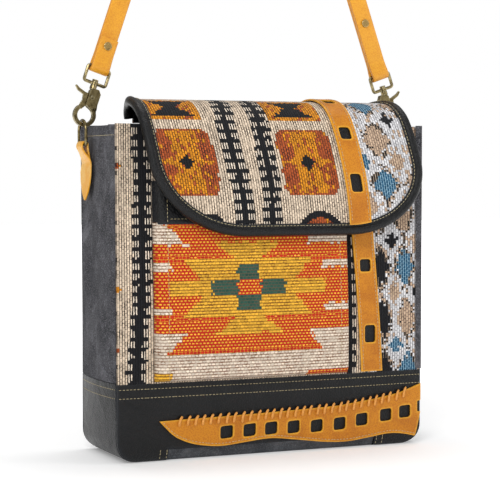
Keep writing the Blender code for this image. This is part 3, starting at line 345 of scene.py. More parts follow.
def make_brass(title, bright, dark, share):
    material, tree, shader = new_material(title, Metallic=1.0)
    place = object_place(tree)
    film = noise(tree, place, 300.0, 2.0)
    tone = mixed(tree, between(tree, film, share - 0.25, share + 0.25), rgb(bright), rgb(dark))
    bevel = add(tree, "Bevel", {"Radius": EDGE_RADIUS}).outputs[0]
    plain = add(tree, "NewGeometry").outputs["Normal"]
    edge = add(tree, "VectorMath", {0: bevel, 1: plain}, operation="DOT_PRODUCT").outputs["Value"]
    tone = mixed(tree, between(tree, edge, 0.90, 0.995, 1.0, 0.0), tone, rgb("D8CDA4"))
    hollow = add(tree, "AmbientOcclusion", {"Distance": HOLLOW_REACH}).outputs["AO"]
    tone = mixed(tree, between(tree, hollow, 0.25, 0.75, 0.85, 0.0), tone, rgb("1E1912"))
    rough = between(tree, film, 0.35, 0.7, 0.26, 0.38)
    fine = maths(tree, "MULTIPLY", noise(tree, place, 2400.0, 3.0), 0.4)
    connect(tree, shader, tone, rough, maths(tree, "ADD", film, fine), 0.00003)
    return material


OLD_BRASS = make_brass("antique_brass", "9C8C63", "55492F", 0.55)
RIVET_BRASS = make_brass("rivet_brass", "C9A869", "7A6238", 0.58)

# %% [markdown]
# ## Thread and thong
# Stitches are waxed thread, and the lacing is a soft tan thong. Both are too small to need more than
# a twist: a wave that runs across the Object coordinates, with a little noise in the colour.

# %% Thread and thong
def make_thread(title, colour, dark, rough, pitch):
    material, tree, shader = new_material(title)
    place = object_place(tree)
    fuzz = noise(tree, place, 1500.0, 3.0)
    twist = add(tree, "TexWave", {"Vector": place, "Scale": 1 / pitch, "Distortion": 2.0},
                bands_direction="DIAGONAL").outputs[1]
    tone = mixed(tree, between(tree, fuzz, 0.35, 0.65), rgb(colour), rgb(dark))
    roughness = between(tree, fuzz, 0.3, 0.7, rough - 0.08, rough + 0.08)
    connect(tree, shader, tone, roughness, twist, 0.00008)
    return material


STITCH_THREAD = make_thread("stitch_thread", "C9BD97", "A3926B", 0.75, 0.0022)
LACE_THONG = make_thread("lace_thong", "EBA650", "CF8630", 0.6, 0.004)

# %% [markdown]
# ## Rug weave
# In this cloth thick floats of yarn lie side by side, half a float out of step from one column to the
# next. Each half float is one face of the mesh. It carries two colours, its yarn and the ground between
# the yarns, and a UV map that counts floats, from which the rounded yarns are drawn. The ground colour
# shows at the sides and ends of each rounded float: for most yarns it is a darker tone of the yarn,
# painted shade in the gaps, and for a few it is a second yarn of the pattern.

# %% Rug weave
YARN_HEIGHT = 0.0005


def make_weave_group():
    inputs = {"Gap": ("Float", 0.2), "Ends": ("Float", 1.0)}
    tree, given, result = new_group("rug_weave", inputs, {"Yarn": "Float", "Height": "Float"})
    count = add(tree, "SeparateXYZ", {0: add(tree, "UVMap", uv_map="floats").outputs[0]}).outputs
    place = object_place(tree)
    wander = maths(tree, "SUBTRACT", noise(tree, place, 700.0, 2.0), 0.5)
    shift = maths(tree, "MULTIPLY", wander, 0.5)
    sides = []
    for value, sway in ((count[0], shift), (count[1], maths(tree, "MULTIPLY", shift, 0.5))):
        within = maths(tree, "FRACT", maths(tree, "ADD", value, sway), 0.0)
        sides.append(maths(tree, "ABSOLUTE", maths(tree, "MULTIPLY_ADD", within, 2.0, -1.0)))
    across = maths(tree, "SUBTRACT", 1.0, maths(tree, "POWER", sides[0], 2.2))
    along = maths(tree, "SUBTRACT", 1.0, maths(tree, "POWER", sides[1], 4.0))
    closed = maths(tree, "MULTIPLY", maths(tree, "SUBTRACT", 1.0, along), given["Ends"])
    height = maths(tree, "MULTIPLY", across, maths(tree, "SUBTRACT", 1.0, closed))
    # Where the rounded yarn lies low, at its sides and closed ends, the ground colour shows: mostly painted
    # shade.
    yarn = between(tree, height, given["Gap"], maths(tree, "ADD", given["Gap"], 0.22))
    tree.links.new(yarn, result["Yarn"])
    fibre = maths(tree, "MULTIPLY", noise(tree, place, 3200.0, 2.0), 0.25)
    tree.links.new(maths(tree, "ADD", height, fibre), result["Height"])
    return tree


RUG_WEAVE = make_weave_group()


def make_rug_cloth(title, soil):
    material, tree, shader = new_material(title, Specular_IOR_Level=0.2, Sheen_Weight=0.03,
                                          Sheen_Roughness=0.6)
    yarn = add(tree, "Attribute", attribute_name="yarn").outputs
    ground = add(tree, "Attribute", attribute_name="ground").outputs
    weave = use_group(tree, RUG_WEAVE, {"Gap": ground["Alpha"], "Ends": yarn["Alpha"]})
    dirt = noise(tree, object_place(tree), 60.0, 4.0)
    # Yarn colour on each float's crown, ground colour at its sides and ends, for most yarns painted shade.
    tone = mixed(tree, weave["Yarn"], ground["Color"], yarn["Color"])
    tone = mixed(tree, between(tree, dirt, 0.45, 0.75, 0.0, soil), tone, rgb("8A745C"), "MULTIPLY")
    rough = between(tree, weave["Height"], 0.0, 1.0, 0.95, 0.80)
    connect(tree, shader, tone, rough, weave["Height"], YARN_HEIGHT)
    return material


RUG_LADDER = make_rug_cloth("rug_ladder", 0.12)
RUG_POCKET = make_rug_cloth("rug_pocket", 0.08)
RUG_DIAMOND = make_rug_cloth("rug_diamond", 0.05)

# %% [markdown]
# ## The form of the bag
# The front, back and sides swell a little, lean in at the mouth and tuck under at the foot. Each is
# given as a depth over its height and width, with the model's own numbers, so a piece drawn flat can be
# laid on the bag at any lift above the wall. The flap's section is a curve through a few points.

# %% The form of the bag
BAG_WIDTH = 0.290
BAG_DEPTH = 0.092
BAG_HEIGHT = 0.286
BASE_HEIGHT = 0.068
CORNER_RADIUS = 0.018
TUCK_HEIGHT = 0.012
TUCK_DEPTH = 0.0035
LEAN_START = 0.088
CROWN = 0.004
SIDE_CROWN = 0.005
FRONT_LEAN = 0.008
BACK_LEAN = 0.028
RUG_CLOTH = 0.0024
CANVAS = 0.0018
LEATHER = 0.0014
GAP = 0.0003
HALF_WIDTH = BAG_WIDTH / 2
HALF_DEPTH = BAG_DEPTH / 2
FRONT_DATUM = HALF_DEPTH - RUG_CLOTH
BACK_DATUM = HALF_DEPTH - CANVAS
SIDE_DATUM = HALF_WIDTH - CANVAS


def clamp(value):
    return min(1.0, max(0.0, value))


def smooth_step(value):
    value = clamp(value)
    return value * value * (3 - 2 * value)


def swell(z):
    """Nothing at the foot and the mouth, and one a little below half height."""
    return max(0.0, math.sin(math.pi * clamp(z / BAG_HEIGHT) ** 0.8))


def wall_depth(datum, lean, x, z):
    """How far from the bag's middle plane a wall stands at a point."""
    across = min(1.0, abs(x) / HALF_WIDTH)
    pull = (1 - across ** 6) * smooth_step((z - LEAN_START) / (BAG_HEIGHT - LEAN_START))
    tuck = TUCK_DEPTH * max(0.0, 1 - z / TUCK_HEIGHT) ** 2
    return datum + CROWN * (1 - across ** 2) * swell(z) - lean * pull - tuck


def front(x, z, lift):
    return Vector((x, -wall_depth(FRONT_DATUM, FRONT_LEAN, x, z) - lift, z))


def back(x, z, lift):
    return Vector((x, wall_depth(BACK_DATUM, BACK_LEAN, x, z) + lift, z))


def side_swell(y, z):
    return SIDE_CROWN * (1 - min(1.0, abs(y) / HALF_DEPTH) ** 2) * swell(z)


def side(sign):
    """The strip that runs down a side, round the corner and under the bag; v is the height, then the run."""
    def place(y, v, lift):
        quarter = math.pi / 2 * CORNER_RADIUS
        if v >= CORNER_RADIUS:
            form, datum = (back, BACK_DATUM) if y > 0 else (front, FRONT_DATUM)
            corner = SIDE_DATUM - SIDE_CROWN / 4
            edge = abs(form(corner, max(v, LEAN_START), 0).y)
            sewn = abs(form(corner, LEAN_START, 0).y)
            return Vector((sign * (SIDE_DATUM + side_swell(y, v) + lift), y * edge / sewn, v))
        middle = SIDE_DATUM + CANVAS - CORNER_RADIUS
        reach = CORNER_RADIUS - CANVAS + lift
        if v > CORNER_RADIUS - quarter:
            angle = (CORNER_RADIUS - v) / CORNER_RADIUS
            x = middle + (reach + side_swell(y, v)) * math.cos(angle)
            return Vector((sign * x, y, CORNER_RADIUS - reach * math.sin(angle)))
        return Vector((sign * (middle - (CORNER_RADIUS - quarter - v)), y, CANVAS - lift))
    return place


FLAP_SECTION = (
    (0.0165, 0.2880), (0.0150, 0.2970), (0.0060, 0.3030), (-0.0100, 0.3045), (-0.0280, 0.3010),
    (-0.0420, 0.2920), (-0.0510, 0.2770), (-0.0570, 0.2580), (-0.0605, 0.2380), (-0.0618, 0.2160),
    (-0.0622, 0.1905),
)
FLAP_STEPS = 240
FLAP_SHIFTS = (0.003, 0.0145)
SHIFT_START = 0.35
LINE_STEPS = 16


def smooth_line(controls, count):
    """Evenly spaced points on a smooth line through the controls, and the line's length."""
    points = [Vector(point) for point in controls]
    ends = [2 * points[0] - points[1], *points, 2 * points[-1] - points[-2]]
    fine = []
    for a, b, c, d in zip(ends, ends[1:], ends[2:], ends[3:]):
        for step in range(LINE_STEPS):
            t = step / LINE_STEPS
            bend = 2 * b + (c - a) * t + (2 * a - 5 * b + 4 * c - d) * t ** 2
            fine.append(0.5 * (bend + (3 * b - 3 * c + d - a) * t ** 3))
    fine.append(points[-1])
    lengths = np.concatenate([[0], np.cumsum([(b - a).length for a, b in zip(fine, fine[1:])])])
    table = np.array([tuple(point) for point in fine])
    places = np.linspace(0, lengths[-1], count)
    columns = [np.interp(places, lengths, table[:, axis]) for axis in range(table.shape[1])]
    return [Vector(row) for row in zip(*columns)], float(lengths[-1])


FLAP_LINE, FLAP_LENGTH = smooth_line(FLAP_SECTION, FLAP_STEPS + 1)


def flap(x, s, lift):
    """s runs along the flap from its hinge; lift is away from the bag."""
    share = clamp(s / FLAP_LENGTH)
    at = share * FLAP_STEPS
    near = min(int(at), FLAP_STEPS - 1)
    point = FLAP_LINE[near].lerp(FLAP_LINE[near + 1], at - near)
    along = (FLAP_LINE[min(near + 4, FLAP_STEPS)] - FLAP_LINE[max(near - 3, 0)]).normalized()
    first, last = FLAP_SHIFTS
    shift = first + (last - first) * smooth_step((share - SHIFT_START) / (1 - SHIFT_START))
    return Vector((x + shift, point.x + along.y * lift, point.y - along.x * lift))


print("flap length", round(FLAP_LENGTH, 4))

# %% [markdown]
# ## Cutting and laying a flat piece
# A sewn piece starts flat on the cutting table. A grid is made, the faces outside the outline or inside a
# punched hole are taken away, and the new border is drawn onto the outline. A layer called rim stores how
# near each corner is to a cut edge. Then the piece is bent onto the bag and gets its thickness.

# %% Cutting and laying
WORN_EDGE = 0.0012
PROBE = 0.001
CUT_BEVEL = 0.0003


def nearest_on(points, outline):
    """For each point, the nearest place on a closed outline and its distance."""
    a = np.array(outline, float)
    b = np.roll(a, -1, axis=0)
    step = b - a
    size = np.maximum((step ** 2).sum(1), 1e-18)
    t = np.clip(((points[:, None] - a) * step).sum(2) / size, 0, 1)
    places = a + t[..., None] * step
    away = np.hypot(*np.moveaxis(points[:, None] - places, 2, 0))
    best = away.argmin(1)
    rows = np.arange(len(points))
    return places[rows, best], away[rows, best]


def is_inside(points, outline):
    a = np.array(outline, float)
    b = np.roll(a, -1, axis=0)
    x, y = points[:, :1], points[:, 1:]
    crosses = (a[:, 1] > y) != (b[:, 1] > y)
    rise = np.where(b[:, 1] == a[:, 1], 1e-18, b[:, 1] - a[:, 1])
    return (crosses & (x < a[:, 0] + (y - a[:, 1]) * (b[:, 0] - a[:, 0]) / rise)).sum(1) % 2 == 1


def flat_grid(outline, cells):
    """A grid over an outline's box, its low corner, the size of a face and the middle of each face."""
    low, high = np.min(outline, axis=0), np.max(outline, axis=0)
    counts = [max(2, round((b - a) / cell)) for a, b, cell in zip(low, high, cells)]
    work = bmesh.new()
    bmesh.ops.create_grid(work, x_segments=counts[0], y_segments=counts[1], size=0.5)
    size, middle = high - low, (low + high) / 2
    bmesh.ops.scale(work, vec=(*size, 1), verts=work.verts)
    bmesh.ops.translate(work, vec=(*middle, 0), verts=work.verts)
    centres = np.array([face.calc_center_median()[:2] for face in work.faces])
    return work, low, size / counts, centres


def drop_faces(work, keep):
    lost = [face for face, kept in zip(work.faces, keep) if not kept]
    bmesh.ops.delete(work, geom=lost, context="FACES")


def cut_flat(outline, cell, holes=()):
    """A flat grid cut to an outline, as a bmesh with a rim layer."""
    work, _, _, centres = flat_grid(outline, (cell, cell))
    keep = is_inside(centres, outline)
    for hole in holes:
        keep &= ~is_inside(centres, hole)
    drop_faces(work, keep)
    borders = [vertex for vertex in work.verts if vertex.is_boundary]
    points = np.array([vertex.co[:2] for vertex in borders])
    found = [nearest_on(points, line) for line in (outline, *holes)]
    best = np.argmin([distance for _, distance in found], axis=0)
    for index, vertex in enumerate(borders):
        vertex.co.xy = found[best[index]][0][index]
    layer = work.verts.layers.float.new("rim")
    points = np.array([vertex.co[:2] for vertex in work.verts])
    near = np.min([nearest_on(points, line)[1] for line in (outline, *holes)], axis=0)
    for vertex, distance in zip(work.verts, near):
        vertex[layer] = max(0.0, 1 - distance / WORN_EDGE)
    return work


def lay(work, form, lift):
    """Bends a flat bmesh onto a form and turns its faces outwards."""
    flat = [vertex.co.copy() for vertex in work.verts]
    for vertex, place in zip(work.verts, flat):
        vertex.co = form(place.x, place.y, lift + place.z)
    work.normal_update()
    work.faces.ensure_lookup_table()
    face = work.faces[len(work.faces) // 2]
    place = flat[face.verts[0].index]
    out = form(place.x, place.y, lift + PROBE) - form(place.x, place.y, lift)
    if face.normal.dot(out) < 0:
        bmesh.ops.reverse_faces(work, faces=work.faces)


def make_piece(title, work, material, body, nodes=()):
    """Turns a bmesh into a piece of the bag that rides on a body and stands for CAD nodes."""
    mesh = bpy.data.meshes.new(title)
    work.to_mesh(mesh)
    work.free()
    mesh.materials.append(material)
    mesh.shade_smooth()
    thing = bpy.data.objects.new(title, mesh)
    bpy.context.scene.collection.objects.link(thing)
    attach(thing, body)
    if nodes:
        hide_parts(*nodes)
    return thing


def thicken(thing, thickness):
    """Thickness inwards from the laid face."""
    wall = thing.modifiers.new("thickness", "SOLIDIFY")
    wall.thickness = thickness
    wall.offset = -1


def round_edges(thing, width, segments, angle):
    round_off = thing.modifiers.new("rounded edges", "BEVEL")
    round_off.width = width
    round_off.segments = segments
    round_off.limit_method = "ANGLE"
    round_off.angle_limit = math.radians(angle)


def give_thickness(thing, thickness):
    """A sheet of leather or canvas with rounded cut edges."""
    thicken(thing, thickness)
    round_edges(thing, CUT_BEVEL, 2, 50)


def sew_on(title, outline, form, lift, thickness, material, nodes, body="root", cell=0.003, holes=()):
    """Cuts a flat piece, lays it on the bag with its outer face at lift, and gives it thickness."""
    work = cut_flat(outline, cell, holes)
    lay(work, form, lift)
    give_thickness(make_piece(title, work, material, body, nodes), thickness)

# %% [markdown]
# ## The patterns
# The old rug that the bag is cut from has traditional figures: ladders, octagons with a small diamond,
# hourglasses, a lattice of diamonds, and on the pocket a stepped cross. A weaver counts threads, so each
# figure here is a rule that says, at a place in millimetres, which yarn shows there, with its ground colour.

# %% Yarns
# Each yarn has its colour, the colour of its ground, how much of the ground shows, and how far a float's
# ends close. For most yarns the ground is a darker tone of the yarn, painted shade in the gaps between
# floats; for the blue, fleck, red and dash yarns it is a second colour of the pattern.
DYED_YARNS = {
    "cream": ("F2DCC2", "1C1512", 0.62, 0.40), "bar": ("F2E2CE", "101013", 0.74, 0.0),
    "black": ("191A1E", "0A0A0D", 0.30, 0.5), "rust": ("BB5A2B", "331B17", 0.62, 0.6),
    "orange": ("EE9A20", "43240F", 0.60, 0.6), "white": ("E8E7E8", "75747A", 0.50, 0.7),
    "tan": ("CFB297", "5A4A40", 0.52, 0.7), "blue": ("1A4F6E", "8FB4C8", 0.30, 0.7),
    "fleck": ("1D1C1B", "B7A28C", 0.30, 0.4), "red": ("C62C18", "E0A030", 0.24, 0.9),
    "dash": ("F2B438", "BE2A18", 0.70, 1.0), "yellow": ("F2B83A", "6E3C14", 0.58, 0.4),
    "green": ("2D5548", "5E5644", 0.50, 0.6), "pale": ("F2E3D0", "7A5030", 0.60, 0.45),
}
YARNS = {name: ((*rgb(yarn)[:3], ends), (*rgb(ground)[:3], gap))
         for name, (yarn, ground, gap, ends) in DYED_YARNS.items()}
MINGLED = {"orange": "rust", "rust": "orange", "white": "tan"}
SOLID_YARNS = ("bar", "black", "dash", "red", "fleck", "blue")
RUNG_SHARE = 0.42
OCTAGON_WIDE = 26
OCTAGON_TALL = 28.5
OCTAGON_CUT = 1.78
HOURGLASS_WIDE = 25
HOURGLASS_TALL = 15
ARCH_TALL = 15
CROSS_MIDDLE = (-29.7, 147.2)
CROSS_POST = (10.2, 20)
CROSS_ARM = (34, 6.8)


def steps(value, size):
    """The value in whole steps, as a figure grows by counted threads."""
    return math.floor(abs(value) / size + 0.5) * size


def ladder(du, s, pitch, half, spine):
    """A dark spine with rungs; between the rungs pale bars of the ground stand on their own."""
    away = abs(du)
    if away < spine or (away < half and (s % pitch) < pitch * RUNG_SHARE):
        return "black"
    return "bar" if away < half - 0.5 else None


def octagon(du, ds):
    """A rust figure with an orange cross inside and a small black diamond in its middle."""
    wide, tall = abs(du), abs(ds)
    if wide > OCTAGON_WIDE or tall > OCTAGON_TALL:
        return None
    if wide / OCTAGON_WIDE + tall / OCTAGON_TALL > OCTAGON_CUT:
        return None
    if steps(wide, 1.45) / 6.2 + steps(tall, 1.45) / 7.2 <= 1:
        return "black"
    if tall > OCTAGON_TALL - 2 or wide > OCTAGON_WIDE - 1.5:
        return "rust"
    arm = 25 if tall < 1.6 else 19 - 1.7 * tall if tall < 5 else 10.5 + 0.22 * max(0.0, tall - 8)
    return "orange" if wide < arm else "rust"


def hourglass(du, ds):
    """An orange block with a black hourglass woven in steps."""
    wide, tall = abs(du), abs(ds)
    if wide > HOURGLASS_WIDE or tall > HOURGLASS_TALL:
        return None
    if tall < 11.5 and wide < 5.5 + steps(tall, 2.9) * 1.15:
        return "black"
    return "orange"


def arch(du, ds, half):
    """A black arch with a rust middle, cut by the lower edge."""
    if (du / half) ** 2 + (ds / ARCH_TALL) ** 2 > 1:
        return None
    return "rust" if (du / (half * 0.66)) ** 2 + (ds / 9.5) ** 2 < 1 else "black"


def along_line(points, s):
    """A line through (s, u) points, for figures that drift sideways."""
    return float(np.interp(s, [p[0] for p in points], [p[1] for p in points]))


def first_of(*figures):
    return next((found for found in figures if found), "cream")


def ladder_rug(u, s):
    """The flap's large piece: two ladders between two columns of figures."""
    left = along_line(((0, -46), (50, -47), (85, -53), (127, -51), (165, -49.5)), s)
    right = along_line(((0, -18), (47, -19.5), (165, -24.3)), s)
    figures = [
        ladder(u - left, s + 1, 8.6, 9.2, 2.3), ladder(u - right, s + 3, 8.6, 9.2, 2.3),
        arch(u + 80.7, s - 172, 14), arch(u - 20.3, s - 171, 20),
    ]
    for middle in (-95.5, 16.5):
        figures += [octagon(u - middle, s - 114), octagon(u - middle, s - 13)]
        figures.append(hourglass(u - middle + 2, s - 62))
    return first_of(*figures)


def front_rug(x, z):
    """The front's large piece: its own ladders at both ends, and figures under the flap and pocket."""
    left = along_line(((60, -128.5), (80, -128), (146, -122.6), (240, -120.8), (290, -122.6)), z)
    figures = [ladder(x - left, z, 9.4, 8.6, 3.0), ladder(x - 71.5, z, 10.4, 7.5, 2.4)]
    for height, kind in ((147, "orange"), (97, "rust"), (250, "rust")):
        if abs(x + 150) / 9 + abs(z - height) / 8 < 1:
            figures.append(kind)
    for middle in (-70, 20) if z > 76 else ():
        figures += [octagon(x - middle, z - 258), ladder(x - middle - 45, z, 9.4, 8.6, 3.0)]
    return first_of(*figures)


LATTICE = {
    "flap": (88.5, 55.0, 16.5, 19.5, 0.0,
             (("blue", "tan", "blue", "tan"), ("black cross", "faint", "white", "white"),
              ("tan", "white", "tan", "white"), ("white", "blue cross", "faint", "white"))),
    "front": (104.0, 67.0, 12.4, 23.4, 0.042,
              (("black", "black", "black", "tan", "black"),
               ("blue cross", "faint", "black cross", "faint", "white"),
               ("blue", "tan", "blue", "tan", "blue"),
               ("faint", "black cross", "faint", "blue cross", "faint"))),
}


def diamond_rug(name, u, s):
    """A lattice of leaning diamonds, each filled in its own way and fringed with single dark stitches."""
    first, start, wide, tall, lean, fills = LATTICE[name]
    across = (u - first + lean * (s - 163)) / wide
    up = (s - start) / tall
    best = None
    for column in (math.floor(across), math.floor(across) + 1):
        row = 2 * round((up - column % 2) / 2) + column % 2
        away = abs(across - column) + abs(up - row)
        if best is None or away < best[0]:
            best = (away, column, row)
    away, column, row = best
    fill = fills[column % 4][(row // 2) % len(fills[0])]
    if fill == "faint":
        return "tan" if away < 0.5 else "white"
    if away > 1.0:
        return "white"
    if away > 0.74 and fill in ("blue", "tan", "black"):
        chance = math.sin(u * 12.99 + s * 78.23) * 43758.5 % 1
        return "fleck" if chance < 0.52 else "tan" if chance < 0.72 else "white"
    if fill.endswith("cross"):
        near, far = sorted((abs(across - column) * wide, abs(up - row) * tall))
        return fill.split()[0] if near < 2.3 and far < 6.6 else "white"
    return fill


def pocket_rug(x, z):
    """The pocket: a green cross on yellow, held by red bands that step out to the sides."""
    dx, dz = x - CROSS_MIDDLE[0], z - CROSS_MIDDLE[1]
    wide, tall = abs(dx), abs(dz)
    row = steps(tall, 2.6)
    in_post = wide < CROSS_POST[0] and tall < CROSS_POST[1]
    in_arm = wide < CROSS_ARM[0] and tall < CROSS_ARM[1]
    if in_post and in_arm:
        return "dash"
    if in_post or in_arm:
        return "green"
    if z < 76 and x < -99:
        return "yellow"
    if z < 74 and x > 31 - (z - 66) * 0.8:
        return "dash"
    inner = 12 + (row - 24) * 1.25 if row > 23.5 else 38 + row * 0.9
    if tall < 7.4 and wide < 72:
        return "yellow"
    if wide > 71 and 15.5 < tall < 22.5:
        return "pale"
    if tall > 36.5 and wide > (54 + (row - 36) * (1.15 if dx < 0 else 0.75)):
        return "pale"
    if tall > 55:
        return "pale"
    if tall < 39 and wide < inner:
        return "yellow"
    return "red" if 23 < tall < 26 or tall > 52 else "dash"


# %% [markdown]
# ## Weaving a panel
# The panel is a grid with one face for each half float. Brightness varies from float to float, as yarn
# does, and the seed is fixed so that each run weaves the same cloth. The outline only drops whole faces,
# because every border of the cloth lies under a rim, a band or a hem.

# %% Weave a panel
COLUMN_SHADES = (0.86, 1.06)
FLOAT_SHADES = (0.74, 1.12)
GROUND_FILL = 0.55
MINGLE_ABOVE = 0.36
WOVEN_WALL = RUG_CLOTH * 0.9


def weave(title, outline, form, lift, pick, material, body, size, stray, nodes, slot, upright=True):
    """Weaves a panel of half floats: size is a yarn's width and its float's length, in metres, and
    stray is how far a float may fall from its place in the figure, in millimetres."""
    wide, tall = (size[0], size[1] / 2) if upright else (size[1] / 2, size[0])
    work, low, cell, centres = flat_grid(outline, (wide, tall))
    keep = is_inside(centres, outline)
    yarn_layer = work.loops.layers.float_color.new("yarn")
    ground_and_shade_layer = work.loops.layers.float_color.new("ground")
    floats = work.loops.layers.uv.new("floats")
    dice = random.Random(title)
    shades = {}
    for face, centre in zip(work.faces, centres):
        column = int((centre[0] - low[0]) / cell[0])
        line = int((centre[1] - low[1]) / cell[1])
        cross, run = (column, line) if upright else (line, column)
        strand = (cross, (run + cross % 2) // 2)
        if cross not in shades:
            shades[cross] = dice.uniform(*COLUMN_SHADES)
        if strand not in shades:
            bright = shades[cross] * dice.uniform(*FLOAT_SHADES)
            shades[strand] = (bright, dice.uniform(0, GROUND_FILL), dice.uniform(-1, 1), dice.uniform(-1, 1))
        bright, filled, drift, slip = shades[strand]
        kind = pick(centre[0] * 1000 + drift * stray[0], centre[1] * 1000 + slip * stray[1])
        if drift * slip > MINGLE_ABOVE:
            kind = MINGLED.get(kind, kind)
        # The ground, for most yarns painted shade between floats, is lifted a random share towards the yarn.
        yarn, ground = YARNS[kind]
        if kind not in SOLID_YARNS:
            blend = (dark + (pale - dark) * filled for dark, pale in zip(ground[:3], yarn[:3]))
            ground = (*blend, ground[3])
        yarn = (*(min(1.0, part * bright) for part in yarn[:3]), yarn[3])
        for loop in face.loops:
            loop[yarn_layer] = yarn
            loop[ground_and_shade_layer] = ground
            u = round((loop.vert.co.x - low[0]) / cell[0])
            v = round((loop.vert.co.y - low[1]) / cell[1])
            across, along = (u, v) if upright else (v, u)
            loop[floats].uv = (across, (along + cross % 2) / 2)
    drop_faces(work, keep)
    area = sum(face.calc_area() for face in work.faces)
    lay(work, form, lift)
    piece = make_piece(title, work, material, body, nodes)
    thicken(piece, WOVEN_WALL)
    print(title, len(piece.data.polygons), "half floats, flat area", round(area, 5))
    return piece, area

# %% [markdown]
# ## Woven front, flap and pocket
# Each panel is cut to the same outline as its solid. The flap's two pieces hang free over the mouth, and
# the flat area that each was cut to is printed.

# %% Outlines of the front and the flap
SEAM_X = 0.0880
STRIP_HALF = 0.0105
FLAP_HALF = 0.129
FLAP_REAR_HALF = 0.118
FLAP_WIDEN = 0.052
FLAP_CORNER_RUN = 0.080
FLAP_CORNER_DROP = 0.064
FLAP_CORNER_STEPS = 24
SHOULDER_STEPS = 8
RIM_RADIUS = 0.0042
FLAP_SEAM = 0.0585
LINING_CLOTH_THICKNESS = 0.0008
FLAP_FACE = LINING_CLOTH_THICKNESS + GAP + RUG_CLOTH


def rectangle(left, right, bottom, top):
    return [(left, bottom), (right, bottom), (right, top), (left, top)]


def flap_edge(inset, start=0.0):
    """The flap's outline from the left hinge corner round to the right one, moved in by inset."""
    half, rear = FLAP_HALF - inset, FLAP_REAR_HALF - inset
    end, run, drop = FLAP_LENGTH - inset, FLAP_CORNER_RUN - inset, FLAP_CORNER_DROP - inset
    shoulder = []
    for step in range(SHOULDER_STEPS):
        share = step / SHOULDER_STEPS
        shoulder.append((rear + (half - rear) * smooth_step(share), max(start, FLAP_WIDEN * share)))
    turns = [math.pi / 2 * step / FLAP_CORNER_STEPS for step in range(FLAP_CORNER_STEPS + 1)]
    corner = [(half - run + run * math.cos(turn), end - drop + drop * math.sin(turn)) for turn in turns]
    mirrored = [(-x, s) for x, s in shoulder + corner]
    return mirrored + corner[::-1] + shoulder[::-1]


def cut_off(outline, limit, keep_left):
    """The part of an outline on one side of an upright cut."""
    work = bmesh.new()
    work.faces.new([work.verts.new((x, y, 0)) for x, y in outline])
    geometry = work.verts[:] + work.edges[:] + work.faces[:]
    away = (1 if keep_left else -1, 0, 0)
    bmesh.ops.bisect_plane(work, geom=geometry, plane_co=(limit, 0, 0), plane_no=away, clear_outer=True)
    kept = max(work.faces, key=lambda face: face.calc_area())
    points = [tuple(vertex.co.xy) for vertex in kept.verts]
    work.free()
    return points


# %% Weave the panels
RAW_EDGE = 0.0013
FRONT_FOOT = BASE_HEIGHT - 0.001
FLAP_CLOTH = flap_edge(0.0075)
FRONT_YARN = (0.0023, 0.00344)
POCKET_YARN = (0.0026, 0.0033)
LADDER_STRAY = (0.5, 0.4)
LATTICE_STRAY = (1.6, 1.6)
POCKET_STRAY = (2.2, 0.3)

weave("front_ladder", rectangle(-HALF_WIDTH, SEAM_X, FRONT_FOOT, BAG_HEIGHT), front, RUG_CLOTH,
      front_rug, RUG_LADDER, "root", FRONT_YARN, LADDER_STRAY, ("front_ladder_panel",), "ladder_weave")
weave("front_diamonds", rectangle(SEAM_X, HALF_WIDTH - RAW_EDGE, FRONT_FOOT, BAG_HEIGHT), front,
      RUG_CLOTH, lambda x, z: diamond_rug("front", x, z), RUG_DIAMOND, "root", FRONT_YARN, LATTICE_STRAY,
      ("front_diamond_panel",), "diamond_weave")
for flap_name, keep_left, flap_pick, flap_material, stray in (
    ("ladder", True, ladder_rug, RUG_LADDER, LADDER_STRAY),
    ("diamond", False, lambda u, s: diamond_rug("flap", u, s), RUG_DIAMOND, LATTICE_STRAY),
):
    cloth_cut = cut_off(FLAP_CLOTH, FLAP_SEAM, keep_left)
    cloth, cloth_area = weave(f"flap_{flap_name}s", cloth_cut, flap, FLAP_FACE, flap_pick, flap_material,
                              "flap", FRONT_YARN, stray, (f"flap_{flap_name}_panel",), f"{flap_name}_weave")

# %% [markdown]
# ## Patch pocket
# The pocket is a pouch sewn down on three sides. Its face stands a little off the bag in the middle and
# falls to the wall at its edges, so the grid is laid with a lift that grows from the sewn edge inwards.

# %% Pocket
POCKET_LEFT = -0.113
POCKET_RIGHT = 0.069
POCKET_TOP = 0.203
POCKET_MOUTH = 0.238
POCKET_ROOM = 0.0075
POCKET_FOOT = BASE_HEIGHT + GAP
POCKET_FACE = RUG_CLOTH + GAP + POCKET_ROOM + RUG_CLOTH
POCKET_SIDE_RUN = 0.0085
POCKET_FOOT_RUN = 0.0065
POCKET_SEWN = 0.0013
POCKET_PUFF = 0.0009
FACING_LIFT = 0.0006
FACING_LEATHER = 0.0016
CANVAS_TURN = 0.0055
TURN_CLOTH = 0.0009


def pocket(x, z, lift):
    """Falls to the wall along the sewn sides and the foot, in a soft round shoulder."""
    sewn = RUG_CLOTH + GAP + POCKET_SEWN
    insets = min(x - POCKET_LEFT, POCKET_RIGHT - x) / POCKET_SIDE_RUN, (z - POCKET_FOOT) / POCKET_FOOT_RUN
    shoulder = math.prod(math.sqrt(1 - (1 - clamp(inset)) ** 2) for inset in insets)
    puff = POCKET_PUFF * math.sin(math.pi * clamp((x - POCKET_LEFT) / (POCKET_RIGHT - POCKET_LEFT)))
    return front(x, z, sewn + (lift - sewn + puff) * shoulder)


